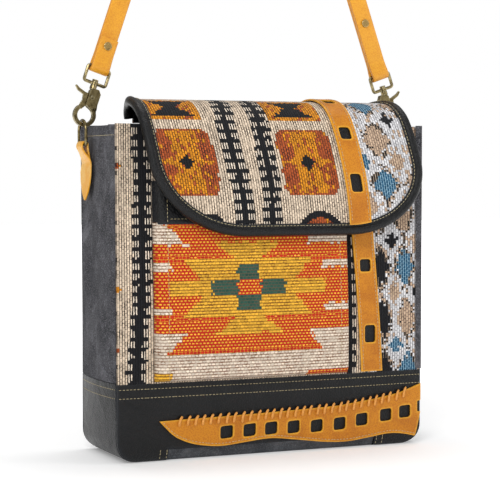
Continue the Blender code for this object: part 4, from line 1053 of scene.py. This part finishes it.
weave("patch_pocket", rectangle(POCKET_LEFT, POCKET_RIGHT, POCKET_FOOT, POCKET_TOP), pocket, POCKET_FACE,
      pocket_rug, RUG_POCKET, "root", POCKET_YARN, POCKET_STRAY, ("pocket_pouch",), "pocket_weave",
      upright=False)
TURN_OUTLINE = rectangle(HALF_WIDTH - CANVAS_TURN, HALF_WIDTH + 0.0004, BASE_HEIGHT, BAG_HEIGHT + 0.0008)
sew_on("canvas_turn", TURN_OUTLINE, front, RUG_CLOTH + TURN_CLOTH, TURN_CLOTH, GREY_CANVAS,
       ("right_gusset",))
sew_on("pocket_facing_leather", rectangle(POCKET_LEFT, POCKET_RIGHT, POCKET_TOP - 0.0015, POCKET_MOUTH),
       pocket, POCKET_FACE + FACING_LIFT, FACING_LEATHER, BLACK_LEATHER, ("pocket_facing",))

# %% [markdown]
# ## Canvas sides and back
# The gussets are soft canvas, held at their edges and slack between, with faint upright folds. The fold
# is added to the form as a small wave that dies out at the seams, so that nothing tears there.

# %% Canvas panels
SIDES = (("left", -1), ("right", 1))
PLY_SHARE = 0.8
CANVAS_TOP = BAG_HEIGHT - 0.001
SIDE_HALF = min(FRONT_DATUM, BACK_DATUM) - GAP
FOLD_COUNT = 5
FOLDS_ABOVE = 0.07
FOLD_HEIGHT = 0.06
FOLD_DEPTH = 0.0011


def creased(form, seed):
    """The same form with a few shallow folds that fade towards the edges."""
    dice = random.Random(seed)
    folds = [(dice.uniform(-0.8, 0.8), dice.uniform(0.12, 0.26), dice.uniform(0.008, 0.016),
              dice.uniform(-0.25, 0.25)) for _ in range(FOLD_COUNT)]

    def place(u, v, lift):
        across = u / SIDE_HALF
        fade = max(0.0, 1 - across ** 4)
        fade *= smooth_step((v - FOLDS_ABOVE) / 0.03) * smooth_step((BAG_HEIGHT - v) / 0.02)
        wave = 0.0
        for middle, height, width, lean in folds:
            away = (u - middle * SIDE_HALF * 0.7 - lean * (v - height)) / width
            wave += math.exp(-away ** 2) * math.exp(-((v - height) / FOLD_HEIGHT) ** 2)
        return form(u, v, lift - FOLD_DEPTH * wave * fade)
    return place


CREASED_SIDES = {side_name: creased(side(sign), side_name) for side_name, sign in SIDES}
for side_name, form in CREASED_SIDES.items():
    sew_on(f"{side_name}_canvas", rectangle(-SIDE_HALF, SIDE_HALF, BASE_HEIGHT, CANVAS_TOP), form, CANVAS,
           CANVAS * PLY_SHARE, GREY_CANVAS, (f"{side_name}_gusset",), cell=0.004)
sew_on("back_canvas", rectangle(-HALF_WIDTH, HALF_WIDTH, BASE_HEIGHT, BAG_HEIGHT), back, CANVAS,
       CANVAS * PLY_SHARE, GREY_CANVAS, ("back_panel",), cell=0.005)

# %% [markdown]
# ## Leather foot
# Four bands of black leather go round the foot, with rounded lower corners. The two long bands have a
# notch below, where the hem of the canvas bottom is turned up over them.

# %% Leather foot
RIM_HEIGHT = 0.010
BASE_TOP = BASE_HEIGHT - GAP
BASE_END = 0.0985
BASE_LEATHER = 0.0016
BAND_LOWEST = 0.0005
BAND_STEPS = 8
BAND_CELL = 0.0025
BASE_RUN = CORNER_RADIUS * (1 - math.pi / 2) - (HALF_WIDTH - CORNER_RADIUS - BASE_END)


def band_outline(notch, hem):
    """Rounded lower corners and the notch for the turned-up hem."""
    points = [(HALF_WIDTH, BASE_TOP), (-HALF_WIDTH, BASE_TOP)]
    lowest = BAND_LOWEST
    for sign, turn in ((-1, math.pi), (1, 1.5 * math.pi)):
        for step in range(BAND_STEPS + 1):
            angle = turn + math.pi / 2 * step / BAND_STEPS
            points.append((sign * (HALF_WIDTH - CORNER_RADIUS) + CORNER_RADIUS * math.cos(angle),
                           lowest + CORNER_RADIUS + CORNER_RADIUS * math.sin(angle)))
        if sign < 0:
            points += [(-notch, lowest), (-notch, hem), (notch, hem), (notch, lowest)]
    return points


def slumped(form, depth):
    """Soft dents along a band of leather, faded out at its upper edge."""
    def place(x, z, lift):
        fade = smooth_step((BASE_TOP - 0.016 - z) / 0.02) * smooth_step((z - 0.004) / 0.012)
        wave = math.sin(x * 62 + 1.3) * math.sin(z * 90 + x * 25) + 0.6 * math.sin(x * 131 - z * 60)
        return form(x, z, lift + depth * fade * (0.4 * wave - 0.4))
    return place


BAND = band_outline(BASE_END + GAP, RIM_HEIGHT + GAP)
for band_name, form, depth, thickness in (
    ("front", front, 0.0004, RUG_CLOTH), ("back", back, 0.0006, CANVAS),
):
    sew_on(f"foot_{band_name}", BAND, slumped(form, depth), thickness, thickness * PLY_SHARE, BLACK_LEATHER,
           (f"base_{band_name}_band",), cell=BAND_CELL)
SIDE_BAND = [
    (-SIDE_HALF, BASE_TOP), (-SIDE_HALF, TUCK_HEIGHT), (-SIDE_HALF + TUCK_DEPTH, -GAP),
    (-SIDE_HALF + TUCK_DEPTH, BASE_RUN), (SIDE_HALF - TUCK_DEPTH, BASE_RUN),
    (SIDE_HALF - TUCK_DEPTH, -GAP), (SIDE_HALF, TUCK_HEIGHT), (SIDE_HALF, BASE_TOP),
]
for side_name, sign in SIDES:
    sew_on(f"foot_{side_name}", SIDE_BAND, side(sign), BASE_LEATHER, BASE_LEATHER * PLY_SHARE, BLACK_LEATHER,
           (f"base_{side_name}_band",), cell=BAND_CELL)

# %% [markdown]
# ## Yellow trims
# The pierced strips and the scalloped trim are one thin yellow leather, laid over black, so the punched
# holes read as dark windows. Their cut edges are rubbed pale, which the rim layer of the cut piece gives.

# %% Yellow trims
STRIP_MIDDLE = 0.0875
STRIP_MIDDLE_HEIGHT = 0.163
STRIP_LEAN = 0.063
BACKING = 0.0006
FRONT_HOLES = ((0.1018, 0.0155), (0.1626, 0.011), (0.2234, 0.011))
FLAP_HOLES = ((0.0502, 0.011), (0.0889, 0.011), (0.1320, 0.0155))
STRIP_HOLE = 0.011
PUNCH_RADIUS = 0.0022
PUNCH_STEPS = 4
TRIM_HOLE = (0.0120, 0.0112)
TRIM_SKEW = 0.06
TRIM_STEPS = 60
TRIM_CELL = 0.0015
TRIM_RIGHT = 0.1445
TRIM_UPPER = (
    (-0.1080, 0.0346), (-0.0865, 0.0352), (-0.0523, 0.0357), (-0.0056, 0.0368), (0.0344, 0.0380),
    (0.0610, 0.0390), (0.0965, 0.0430), (0.1221, 0.0471), (TRIM_RIGHT, 0.0544),
)
TRIM_LOWER = (
    (-0.1080, 0.0346), (-0.0958, 0.0224), (-0.0863, 0.0170), (-0.0730, 0.0128), (-0.0517, 0.0104),
    (-0.0286, 0.0124), (-0.0050, 0.0142), (0.0212, 0.0112), (0.0486, 0.0074), (0.0700, 0.0064),
    (0.0920, 0.0088), (0.1120, 0.0112), (0.1276, 0.0098), (0.1391, 0.0070),
)
TRIM_HOLES = (
    (-0.0466, 0.0222), (-0.0250, 0.0226), (-0.0046, 0.0230), (0.0170, 0.0228), (0.0395, 0.0224),
    (0.0622, 0.0230), (0.0842, 0.0254), (0.1086, 0.0280), (0.1282, 0.0300),
)
TRIM_NOTCH = (0.1410, 0.0290, 0.0390)


def strip_middle(height):
    return STRIP_MIDDLE + STRIP_LEAN * (STRIP_MIDDLE_HEIGHT - height)


def punched(middle_u, middle_v, width, height, skew=0.0):
    """The outline of a punched hole with rounded corners."""
    outline = []
    for corner, (sign_u, sign_v) in enumerate(((1, 1), (-1, 1), (-1, -1), (1, -1))):
        for step in range(PUNCH_STEPS + 1):
            angle = math.pi / 2 * (corner + step / PUNCH_STEPS)
            u = sign_u * (width / 2 - PUNCH_RADIUS) + PUNCH_RADIUS * math.cos(angle)
            v = sign_v * (height / 2 - PUNCH_RADIUS) + PUNCH_RADIUS * math.sin(angle)
            outline.append((middle_u + u, middle_v + v + skew * u))
    return outline


STRIP_LOW, STRIP_HIGH = BASE_HEIGHT + GAP, BAG_HEIGHT - 0.002
FRONT_STRIP = [
    (strip_middle(STRIP_LOW) - STRIP_HALF, STRIP_LOW), (strip_middle(STRIP_LOW) + STRIP_HALF, STRIP_LOW),
    (strip_middle(STRIP_HIGH) + STRIP_HALF, STRIP_HIGH), (strip_middle(STRIP_HIGH) - STRIP_HALF, STRIP_HIGH),
]
STRIP_FACE = RUG_CLOTH + 2 * GAP + BACKING + LEATHER
sew_on("front_strip_leather", FRONT_STRIP, front, STRIP_FACE, LEATHER, YELLOW_LEATHER,
       ("front_strip",), cell=TRIM_CELL,
       holes=[punched(strip_middle(z), z, STRIP_HOLE, tall) for z, tall in FRONT_HOLES])
FLAP_STRIP_FACE = FLAP_FACE + 2 * GAP + BACKING + LEATHER
FLAP_STRIP = cut_off(flap_edge(0.0088, 0.004), FLAP_SEAM + STRIP_HALF, True)
sew_on("flap_strip_leather", cut_off(FLAP_STRIP, FLAP_SEAM - STRIP_HALF, False), flap, FLAP_STRIP_FACE,
       LEATHER, YELLOW_LEATHER, ("flap_strip",), body="flap", cell=TRIM_CELL,
       holes=[punched(FLAP_SEAM, s, STRIP_HOLE, tall) for s, tall in FLAP_HOLES])
TRIM_FACE = RUG_CLOTH + GAP + LEATHER
TRIM_LINE, _ = smooth_line(TRIM_LOWER, TRIM_STEPS)
NOTCH_INSIDE, NOTCH_LOW, NOTCH_HIGH = TRIM_NOTCH
TRIM_EDGE = [
    *map(tuple, TRIM_LINE), (TRIM_RIGHT, NOTCH_LOW), (NOTCH_INSIDE, NOTCH_LOW), (NOTCH_INSIDE, NOTCH_HIGH),
    (TRIM_RIGHT, NOTCH_HIGH), *TRIM_UPPER[:0:-1],
]
sew_on("scalloped_trim", TRIM_EDGE, front, TRIM_FACE, LEATHER, YELLOW_LEATHER,
       ("base_trim",), cell=TRIM_CELL, holes=[punched(x, z, *TRIM_HOLE, TRIM_SKEW) for x, z in TRIM_HOLES])

# %% [markdown]
# ## Flap rim and lining
# The rim is a leather roll round the flap's free edge, with a flat flange on the face that the stitches
# go through. The roll is swept along the edge; the flange is cut flat as a long U and laid on the flap.

# %% Sweep a profile
def frame_at(point, along, up, size=1.0):
    """A place for a profile: its first axis is across the line, its second is the up side."""
    wide = along.cross(up).normalized()
    turn = Matrix((wide, wide.cross(along).normalized(), along.normalized())).transposed()
    return Matrix.Translation(point) @ (turn * size).to_4x4()


def frames_along(points, closed=False, up=None, sizes=None):
    """Frames that follow a line and turn as little as they can from one to the next."""
    count = len(points)
    frames = []
    for index, point in enumerate(points):
        before = points[(index - 1) % count] if closed or index else point
        after = points[(index + 1) % count] if closed or index < count - 1 else point
        along = (after - before).normalized()
        if up is None or abs(along.dot(up)) > 0.999:
            up = along.orthogonal()
        up = (up - along * up.dot(along)).normalized()
        frames.append(frame_at(point, along, up, sizes[index] if sizes else 1.0))
    return frames


def ellipse(half_wide, half_high, sides=10):
    turns = [2 * math.pi * step / sides for step in range(sides)]
    return [(half_wide * math.cos(turn), half_high * math.sin(turn)) for turn in turns]


def sweep(profile, frames, closed=False):
    """Extrudes a closed profile from each frame to the next and closes both ends."""
    work = bmesh.new()
    ring = [work.verts.new(frames[0] @ Vector((a, b, 0))) for a, b in profile]
    edges = [work.edges.new((ring[k - 1], ring[k])) for k in range(len(ring))]
    last = frames[0]
    for place in [*frames[1:], *(frames[:1] if closed else ())]:
        made = bmesh.ops.extrude_edge_only(work, edges=edges)["geom"]
        fresh = {item for item in made if isinstance(item, bmesh.types.BMVert)}
        edges = [item for item in made if isinstance(item, bmesh.types.BMEdge) and set(item.verts) <= fresh]
        bmesh.ops.transform(work, matrix=place @ last.inverted(), verts=list(fresh))
        last = place
    bmesh.ops.remove_doubles(work, verts=work.verts, dist=0.000002)
    if not closed:
        bmesh.ops.holes_fill(work, edges=[edge for edge in work.edges if edge.is_boundary], sides=0)
    bmesh.ops.recalc_face_normals(work, faces=work.faces)
    return work


# %% Rim and flap lining
RIM_MIDDLE = (LINING_CLOTH_THICKNESS + GAP + RUG_CLOTH) / 2
RIM_START = 0.004
FLANGE_OUTSIDE = 0.0030
FLANGE_WIDTH = 0.0105
FLANGE = 0.0009


def even_places(outline, pitch):
    """Points at an even pitch along an open flat line."""
    line = np.array(outline, float)
    lengths = np.concatenate([[0], np.cumsum(np.hypot(*np.diff(line, axis=0).T))])
    places = np.linspace(0, lengths[-1], max(2, round(lengths[-1] / pitch) + 1))
    columns = [np.interp(places, lengths, line[:, axis]) for axis in (0, 1)]
    return [(float(x), float(y)) for x, y in zip(*columns)]


def rim_edge(inset, start=RIM_START):
    """The flap's edge, but never above the height where the rim starts."""
    return [(x, max(s, start)) for x, s in flap_edge(inset)]


rim_points = [flap(x, s, RIM_MIDDLE) for x, s in even_places(rim_edge(RIM_RADIUS), 0.003)]
roll = sweep(ellipse(RIM_RADIUS, RIM_RADIUS, 16), frames_along(rim_points))
make_piece("flap_rim_roll", roll, BLACK_LEATHER, "flap", ("flap_rim",))
flange = cut_flat(rim_edge(FLANGE_OUTSIDE) + rim_edge(FLANGE_WIDTH)[::-1], TRIM_CELL)
lay(flange, flap, FLAP_FACE + FLANGE)
flange = make_piece("flap_rim_flange", flange, BLACK_LEATHER, "flap")
give_thickness(flange, FLANGE * 0.9)
sew_on("flap_lining_leather", FLAP_CLOTH, flap, LINING_CLOTH_THICKNESS, LINING_CLOTH_THICKNESS,
       BLACK_LEATHER, ("flap_lining",), body="flap", cell=0.004)
HINGE_STRIP = rectangle(-FLAP_HALF + 0.004, FLAP_HALF + 0.002, BAG_HEIGHT - 0.026, BAG_HEIGHT + 0.0012)
HINGE_STRIP_FACE = CANVAS + 2 * GAP + LEATHER
sew_on("hinge_strip_leather", HINGE_STRIP, back, HINGE_STRIP_FACE, LEATHER, BLACK_LEATHER,
       ("flap_hinge_strip",))

# %% [markdown]
# ## Stitching
# Every seam shows a row of single stitches, each a small rounded bar of thread that sinks into the leather
# at its ends. A row is drawn flat and laid like the pieces; all rows on one body become one mesh.

# %% Stitches
STITCH_LENGTH = 0.0023
STITCH_PITCH = 0.0031
STITCH_WIDTH = 0.00055
THREAD_LIFT = 0.0001
ROW_SAMPLING = 0.0008
BAND_SEAMS = (0.0050, 0.0125)
NOTCH_SEAMS = (0.002, 0.008)
HINGE_SEAMS = (0.004, 0.022)
HEM_SEAM = 0.0085
STRIP_SEAM = STRIP_HALF - 0.0023
POCKET_SEAM = 0.0105
FACING_SEAM = 0.0125
FLANGE_SEAM = 0.0016
TRIM_SEAM = 0.0023
STITCH_ROWS = {"root": [], "flap": []}


def stitch_row(body, form, line, lift):
    """Adds the places of the stitches along a flat line on a form, just above a face."""
    lift += THREAD_LIFT
    ends = even_places(line, ROW_SAMPLING)
    places = [form(u, v, lift) for u, v in ends]
    outs = [form(u, v, lift + PROBE) - place for (u, v), place in zip(ends, places)]
    lengths = np.concatenate([[0], np.cumsum([(b - a).length for a, b in zip(places, places[1:])])])
    for at in np.arange(STITCH_PITCH / 2, lengths[-1] - STITCH_PITCH / 4, STITCH_PITCH):
        index = min(int(np.searchsorted(lengths, at)), len(places) - 1)
        along = (places[min(index + 1, len(places) - 1)] - places[max(index - 1, 0)]).normalized()
        place = frame_at(places[index], along, outs[index])
        size = Matrix.Diagonal((STITCH_WIDTH, STITCH_WIDTH * 0.8, STITCH_LENGTH, 1))
        STITCH_ROWS[body].append(place @ size)


def level_line(left, right, height):
    return [(left, height), (right, height)]


def upright_line(x, low, high):
    return [(x, low), (x, high)]


def sew_all(body):
    """Joins a body's stitches into one piece."""
    template = bmesh.new()
    bmesh.ops.create_uvsphere(template, u_segments=6, v_segments=5, radius=0.5)
    shape = bpy.data.meshes.new("stitch")
    template.to_mesh(shape)
    template.free()
    work = bmesh.new()
    for place in STITCH_ROWS[body]:
        stitch = shape.copy()
        stitch.transform(place)
        work.from_mesh(stitch)
        bpy.data.meshes.remove(stitch)
    print(body, len(STITCH_ROWS[body]), "stitches")
    make_piece(f"{body}_stitches", work, STITCH_THREAD, body)


for band_drop in BAND_SEAMS:
    height = BASE_TOP - band_drop
    row = level_line(-HALF_WIDTH + 0.001, HALF_WIDTH - 0.001, height)
    stitch_row("root", front, row, RUG_CLOTH)
    stitch_row("root", back, row, CANVAS)
    row = level_line(-SIDE_HALF + 0.001, SIDE_HALF - 0.001, height)
    for _, sign in SIDES:
        stitch_row("root", side(sign), row, BASE_LEATHER)
for _, sign in SIDES:
    for step in NOTCH_SEAMS:
        row = upright_line(sign * (BASE_END + step), 0.0015, 0.0115)
        stitch_row("root", front, row, RUG_CLOTH)
        stitch_row("root", back, row, CANVAS)
for form in CREASED_SIDES.values():
    stitch_row("root", form, level_line(-SIDE_HALF + 0.002, SIDE_HALF - 0.002, CANVAS_TOP - HEM_SEAM), CANVAS)
stitch_row("root", back, level_line(-HALF_WIDTH + 0.002, -0.126, BAG_HEIGHT - 0.006), CANVAS)
for drop in HINGE_SEAMS:
    stitch_row("root", back, level_line(-0.123, 0.129, BAG_HEIGHT - drop), HINGE_STRIP_FACE)
for edge in (-STRIP_SEAM, STRIP_SEAM):
    row = [(strip_middle(z) + edge, z) for z in (STRIP_LOW + 0.001, STRIP_HIGH - 0.001)]
    stitch_row("root", front, row, STRIP_FACE)
    stitch_row("flap", flap, upright_line(FLAP_SEAM + edge, 0.006, FLAP_LENGTH - 0.0115), FLAP_STRIP_FACE)
FACING_FACE = POCKET_FACE + FACING_LIFT + THREAD_LIFT
for seam_x in (POCKET_LEFT + POCKET_SEAM, POCKET_RIGHT - POCKET_SEAM):
    stitch_row("root", pocket, upright_line(seam_x, POCKET_FOOT + 0.002, POCKET_TOP), POCKET_FACE)
    stitch_row("root", pocket, upright_line(seam_x, POCKET_TOP, POCKET_MOUTH - 0.001), FACING_FACE)
row = level_line(POCKET_LEFT + FACING_SEAM, POCKET_RIGHT - FACING_SEAM, POCKET_TOP + 0.003)
stitch_row("root", pocket, row, FACING_FACE)
stitch_row("flap", flap, rim_edge(FLANGE_WIDTH - FLANGE_SEAM, 0.006), FLAP_FACE + FLANGE)
stitch_row("root", front, [(x, z + TRIM_SEAM) for x, z in TRIM_EDGE[1:TRIM_STEPS]], TRIM_FACE)
sew_all("root")
sew_all("flap")

# %% [markdown]
# ## Whipped lacing
# A thong is whipped over the trim's upper edge: it comes out of a hole in the face, climbs, and curls
# over the edge to the back. Each turn is one short flattened sweep, and the turns are the same but for a
# little hand-made unevenness.

# %% Lacing
LACE_START = -0.090
LACE_PITCH = 0.0072
LACE_REACH = 0.0058
LACE_SLACK = 0.0006
LACE_STEPS = 12
LACE_HALF_WIDE = 0.00125
LACE_HALF_THICK = 0.0007
LACE_END = TRIM_RIGHT - 0.0042


def trim_top(x):
    return float(np.interp(x, [p[0] for p in TRIM_UPPER], [p[1] for p in TRIM_UPPER]))


def make_lacing():
    dice = random.Random(7)
    laces = bmesh.new()
    sizes = [0.75, 0.95, *[1.0] * (LACE_STEPS - 4), 0.95, 0.8]
    for index in range(int((LACE_END - LACE_START) / LACE_PITCH)):
        start = LACE_START + LACE_PITCH * index + dice.uniform(-LACE_SLACK, LACE_SLACK)
        reach = LACE_REACH + dice.uniform(-LACE_SLACK, LACE_SLACK)
        turn = ((0.0, -reach, 0.0001), (-0.0003, -reach * 0.7, 0.0009), (0.0002, -0.0008, 0.0010),
                (0.0012, 0.0014, 0.0009), (0.0024, 0.0021, 0.0001), (0.0031, 0.0017, -0.0009))
        line, _ = smooth_line([front(start + dx, trim_top(start + dx) + dz, TRIM_FACE + lift)
                               for dx, dz, lift in turn], LACE_STEPS)
        thong = ellipse(LACE_HALF_WIDE, LACE_HALF_THICK, 8)
        made = sweep(thong, frames_along(line, up=Vector((0, -1, 0)), sizes=sizes))
        part = bpy.data.meshes.new("turn")
        made.to_mesh(part)
        made.free()
        laces.from_mesh(part)
        bpy.data.meshes.remove(part)
    make_piece("whipped_lacing", laces, LACE_THONG, "root", ("base_lacing",))


make_lacing()

# %% [markdown]
# ## Strap
# The strap is a two-ply band of leather, turned back through the links and riveted. Its section is a flat
# bar with rounded edges, swept along the loops, the legs and the arch with its width kept in one plane.

# %% Strap
CLIP_TILT = math.radians(19.0)
RING_SIDE = 0.1525
RING_TOP = 0.290
HARDWARE_DEPTH = 0.020
EYE_RADIUS = 0.0068
WIRE_RADIUS = 0.0015
RING_EASE = 0.00016
SEAT_DROP = EYE_RADIUS - WIRE_RADIUS - 0.0005
LINK_TOP = 0.0430
STRAP_HALF = 0.0084
STRAP_THICKNESS = 0.0030
APEX_RADIUS = 0.050
SHORT_TAIL = 0.027
LONG_TAIL = 0.100
TURN_RISE = 0.012
TAIL_STEP = 0.004
LOOP_STEPS = 12
ARCH_STEPS = 48
STRAP_SOFT = 0.0008


def clip_point(sign, outward, depth, up):
    """A place in a clip's own measures: outward, depth, and up along its tilted axis."""
    axis = Vector((-sign * math.sin(CLIP_TILT), 0, math.cos(CLIP_TILT)))
    out = Vector((sign * math.cos(CLIP_TILT), 0, math.sin(CLIP_TILT)))
    eye = Vector((sign * RING_SIDE, HARDWARE_DEPTH, RING_TOP)) + axis * SEAT_DROP
    return eye + out * outward + Vector((0, depth, 0)) + axis * up


LOOP_RADIUS = WIRE_RADIUS + GAP + STRAP_THICKNESS / 2
PLY_STEP = (STRAP_THICKNESS + GAP) / 2


LEG_RISES = (0.003, 0.006, 0.009, 0.012, 0.020, 0.040, 0.060, 0.080, 0.105)


def ply_depth(rise):
    """How far a ply stands from the leg's middle: wide round the link, then close together."""
    ease = smooth_step(rise / TURN_RISE)
    return LOOP_RADIUS * (1 - ease) + PLY_STEP * ease


def strap_leg(sign, tail):
    """From the tail's end down behind the leg, round the link and up to the arch."""
    steps_up = max(2, int(tail / TAIL_STEP))
    tail_rises = [tail * step / steps_up for step in range(steps_up, 0, -1)]
    turns = [math.pi * step / LOOP_STEPS for step in range(LOOP_STEPS + 1)]
    points = [(0, -ply_depth(rise), LINK_TOP + rise) for rise in tail_rises]
    points += [(0, -LOOP_RADIUS * math.cos(turn), LINK_TOP - LOOP_RADIUS * math.sin(turn)) for turn in turns]
    points += [(0, ply_depth(rise), LINK_TOP + rise) for rise in LEG_RISES]
    return [clip_point(sign, *point) for point in points]


def make_strap():
    left, right = strap_leg(-1, SHORT_TAIL), strap_leg(1, LONG_TAIL)
    foot = clip_point(-1, 0, 0, LINK_TOP)
    middle = foot.z + abs(foot.x) / math.tan(CLIP_TILT) - APEX_RADIUS / math.sin(CLIP_TILT)
    depth = HARDWARE_DEPTH + PLY_STEP
    arch_line = []
    for step in range(ARCH_STEPS + 1):
        angle = math.pi - CLIP_TILT - (math.pi - 2 * CLIP_TILT) * step / ARCH_STEPS
        height = middle + APEX_RADIUS * math.sin(angle)
        arch_line.append(Vector((APEX_RADIUS * math.cos(angle), depth, height)))
    path = [*left, *arch_line, *right[::-1]]
    frames = []
    for index, point in enumerate(path):
        along = (path[min(index + 1, len(path) - 1)] - path[max(index - 1, 0)]).normalized()
        if len(left) <= index < len(left) + len(arch_line):
            wide = Vector((point.x, 0, point.z - middle)).normalized()
        else:
            sign = -1 if point.x < 0 else 1
            wide = Vector((sign * math.cos(CLIP_TILT), 0, math.sin(CLIP_TILT)))
        frames.append(frame_at(point, along, wide.cross(along).normalized()))
    half, thick, soft = STRAP_HALF, STRAP_THICKNESS / 2, STRAP_SOFT
    profile = [(half, thick - soft), (half - soft * 0.3, thick - soft * 0.3), (half - soft, thick)]
    profile += [(half * share, thick) for share in (0.5, 0.0, -0.5)]
    profile += [(-a, b) for a, b in profile[2::-1]]
    profile += [(-a, -b) for a, b in profile]
    work = sweep(profile, frames)
    rim = work.verts.layers.float.new("rim")
    for vertex in work.verts:
        nearest = min(frames, key=lambda place: (place.translation - vertex.co).length_squared)
        away = abs((vertex.co - nearest.translation).dot(nearest.col[0].xyz))
        vertex[rim] = 1.0 if away > half - soft * 0.6 else 0.0
    piece = make_piece("leather_strap", work, STRAP_LEATHER, "root", ("strap",))
    piece.data.set_sharp_from_angle(angle=math.radians(60))


make_strap()

# %% [markdown]
# ## Brass wire
# The D rings are bent wire. Their round corners come from sweeping a circle along a line with small arcs,
# finely enough that no facet shows. The wire is a hair thinner than the model's, so that the turned hooks
# stay clear of it.

# %% Rings
RING_BEND = 0.0095
RING_STRAIGHT = 0.0115
RING_CORNER = 0.0016
RING_WIRE = WIRE_RADIUS - RING_EASE


def arc(middle, radius, start, end, count):
    turns = [math.radians(start + (end - start) * step / count) for step in range(count + 1)]
    return [(middle[0] + radius * math.cos(turn), middle[1] + radius * math.sin(turn)) for turn in turns]


RING_LOW = -RING_BEND - RING_STRAIGHT + RING_CORNER
RING_SIDE_MIDDLE = RING_BEND - RING_CORNER
ring_flat = arc((0, -RING_BEND), RING_BEND, 0, 180, 28)
ring_flat += arc((-RING_SIDE_MIDDLE, RING_LOW), RING_CORNER, 180, 270, 6)
ring_flat += arc((RING_SIDE_MIDDLE, RING_LOW), RING_CORNER, 270, 360, 6)
for side_name, sign in SIDES:
    ring_points = [Vector((sign * RING_SIDE, HARDWARE_DEPTH + a, RING_TOP + b)) for a, b in ring_flat]
    ring = sweep(ellipse(RING_WIRE, RING_WIRE, 14), frames_along(ring_points, closed=True), closed=True)
    make_piece(f"{side_name}_d_ring", ring, OLD_BRASS, "root", (f"{side_name}_ring",))

# %% [markdown]
# ## Softened solids
# Cast and punched pieces have the right shape in the model, but crisp edges. A merged copy of each solid
# gets flat faces joined again and its edges rounded, as tumbling does to cast brass.

# %% Softened solids
def softened(node, material, body, width):
    work = bmesh.new()
    work.from_mesh(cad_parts[node].data)
    bmesh.ops.remove_doubles(work, verts=work.verts, dist=0.000004)
    bmesh.ops.dissolve_limit(work, angle_limit=math.radians(2), verts=work.verts, edges=work.edges)
    bmesh.ops.recalc_face_normals(work, faces=work.faces)
    piece = make_piece(f"{node}_finished", work, material, body, (node,))
    round_edges(piece, width, 3, 28)
    piece.data.set_sharp_from_angle(angle=math.radians(70))


for side_name, _ in SIDES:
    softened(f"{side_name}_tab", TAB_LEATHER, "root", 0.0004)
    softened(f"{side_name}_hook", OLD_BRASS, f"{side_name}_clip", 0.0007)
    softened(f"{side_name}_lever", OLD_BRASS, f"{side_name}_trigger", 0.0005)
    softened(f"{side_name}_lever_pin", OLD_BRASS, f"{side_name}_clip", 0.0003)
    softened(f"{side_name}_link", OLD_BRASS, "root", 0.0002)
for rivet in ("left_rivet", "right_rivet_lower", "right_rivet_upper"):
    softened(rivet, RIVET_BRASS, "root", 0.0005)
for node, material in (
    ("lining", LINING_CLOTH), ("bottom_panel", HEM_CANVAS), ("front_strip_backing", BLACK_LEATHER),
    ("flap_strip_backing", BLACK_LEATHER),
):
    for material_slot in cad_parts[node].material_slots:
        material_slot.material = material
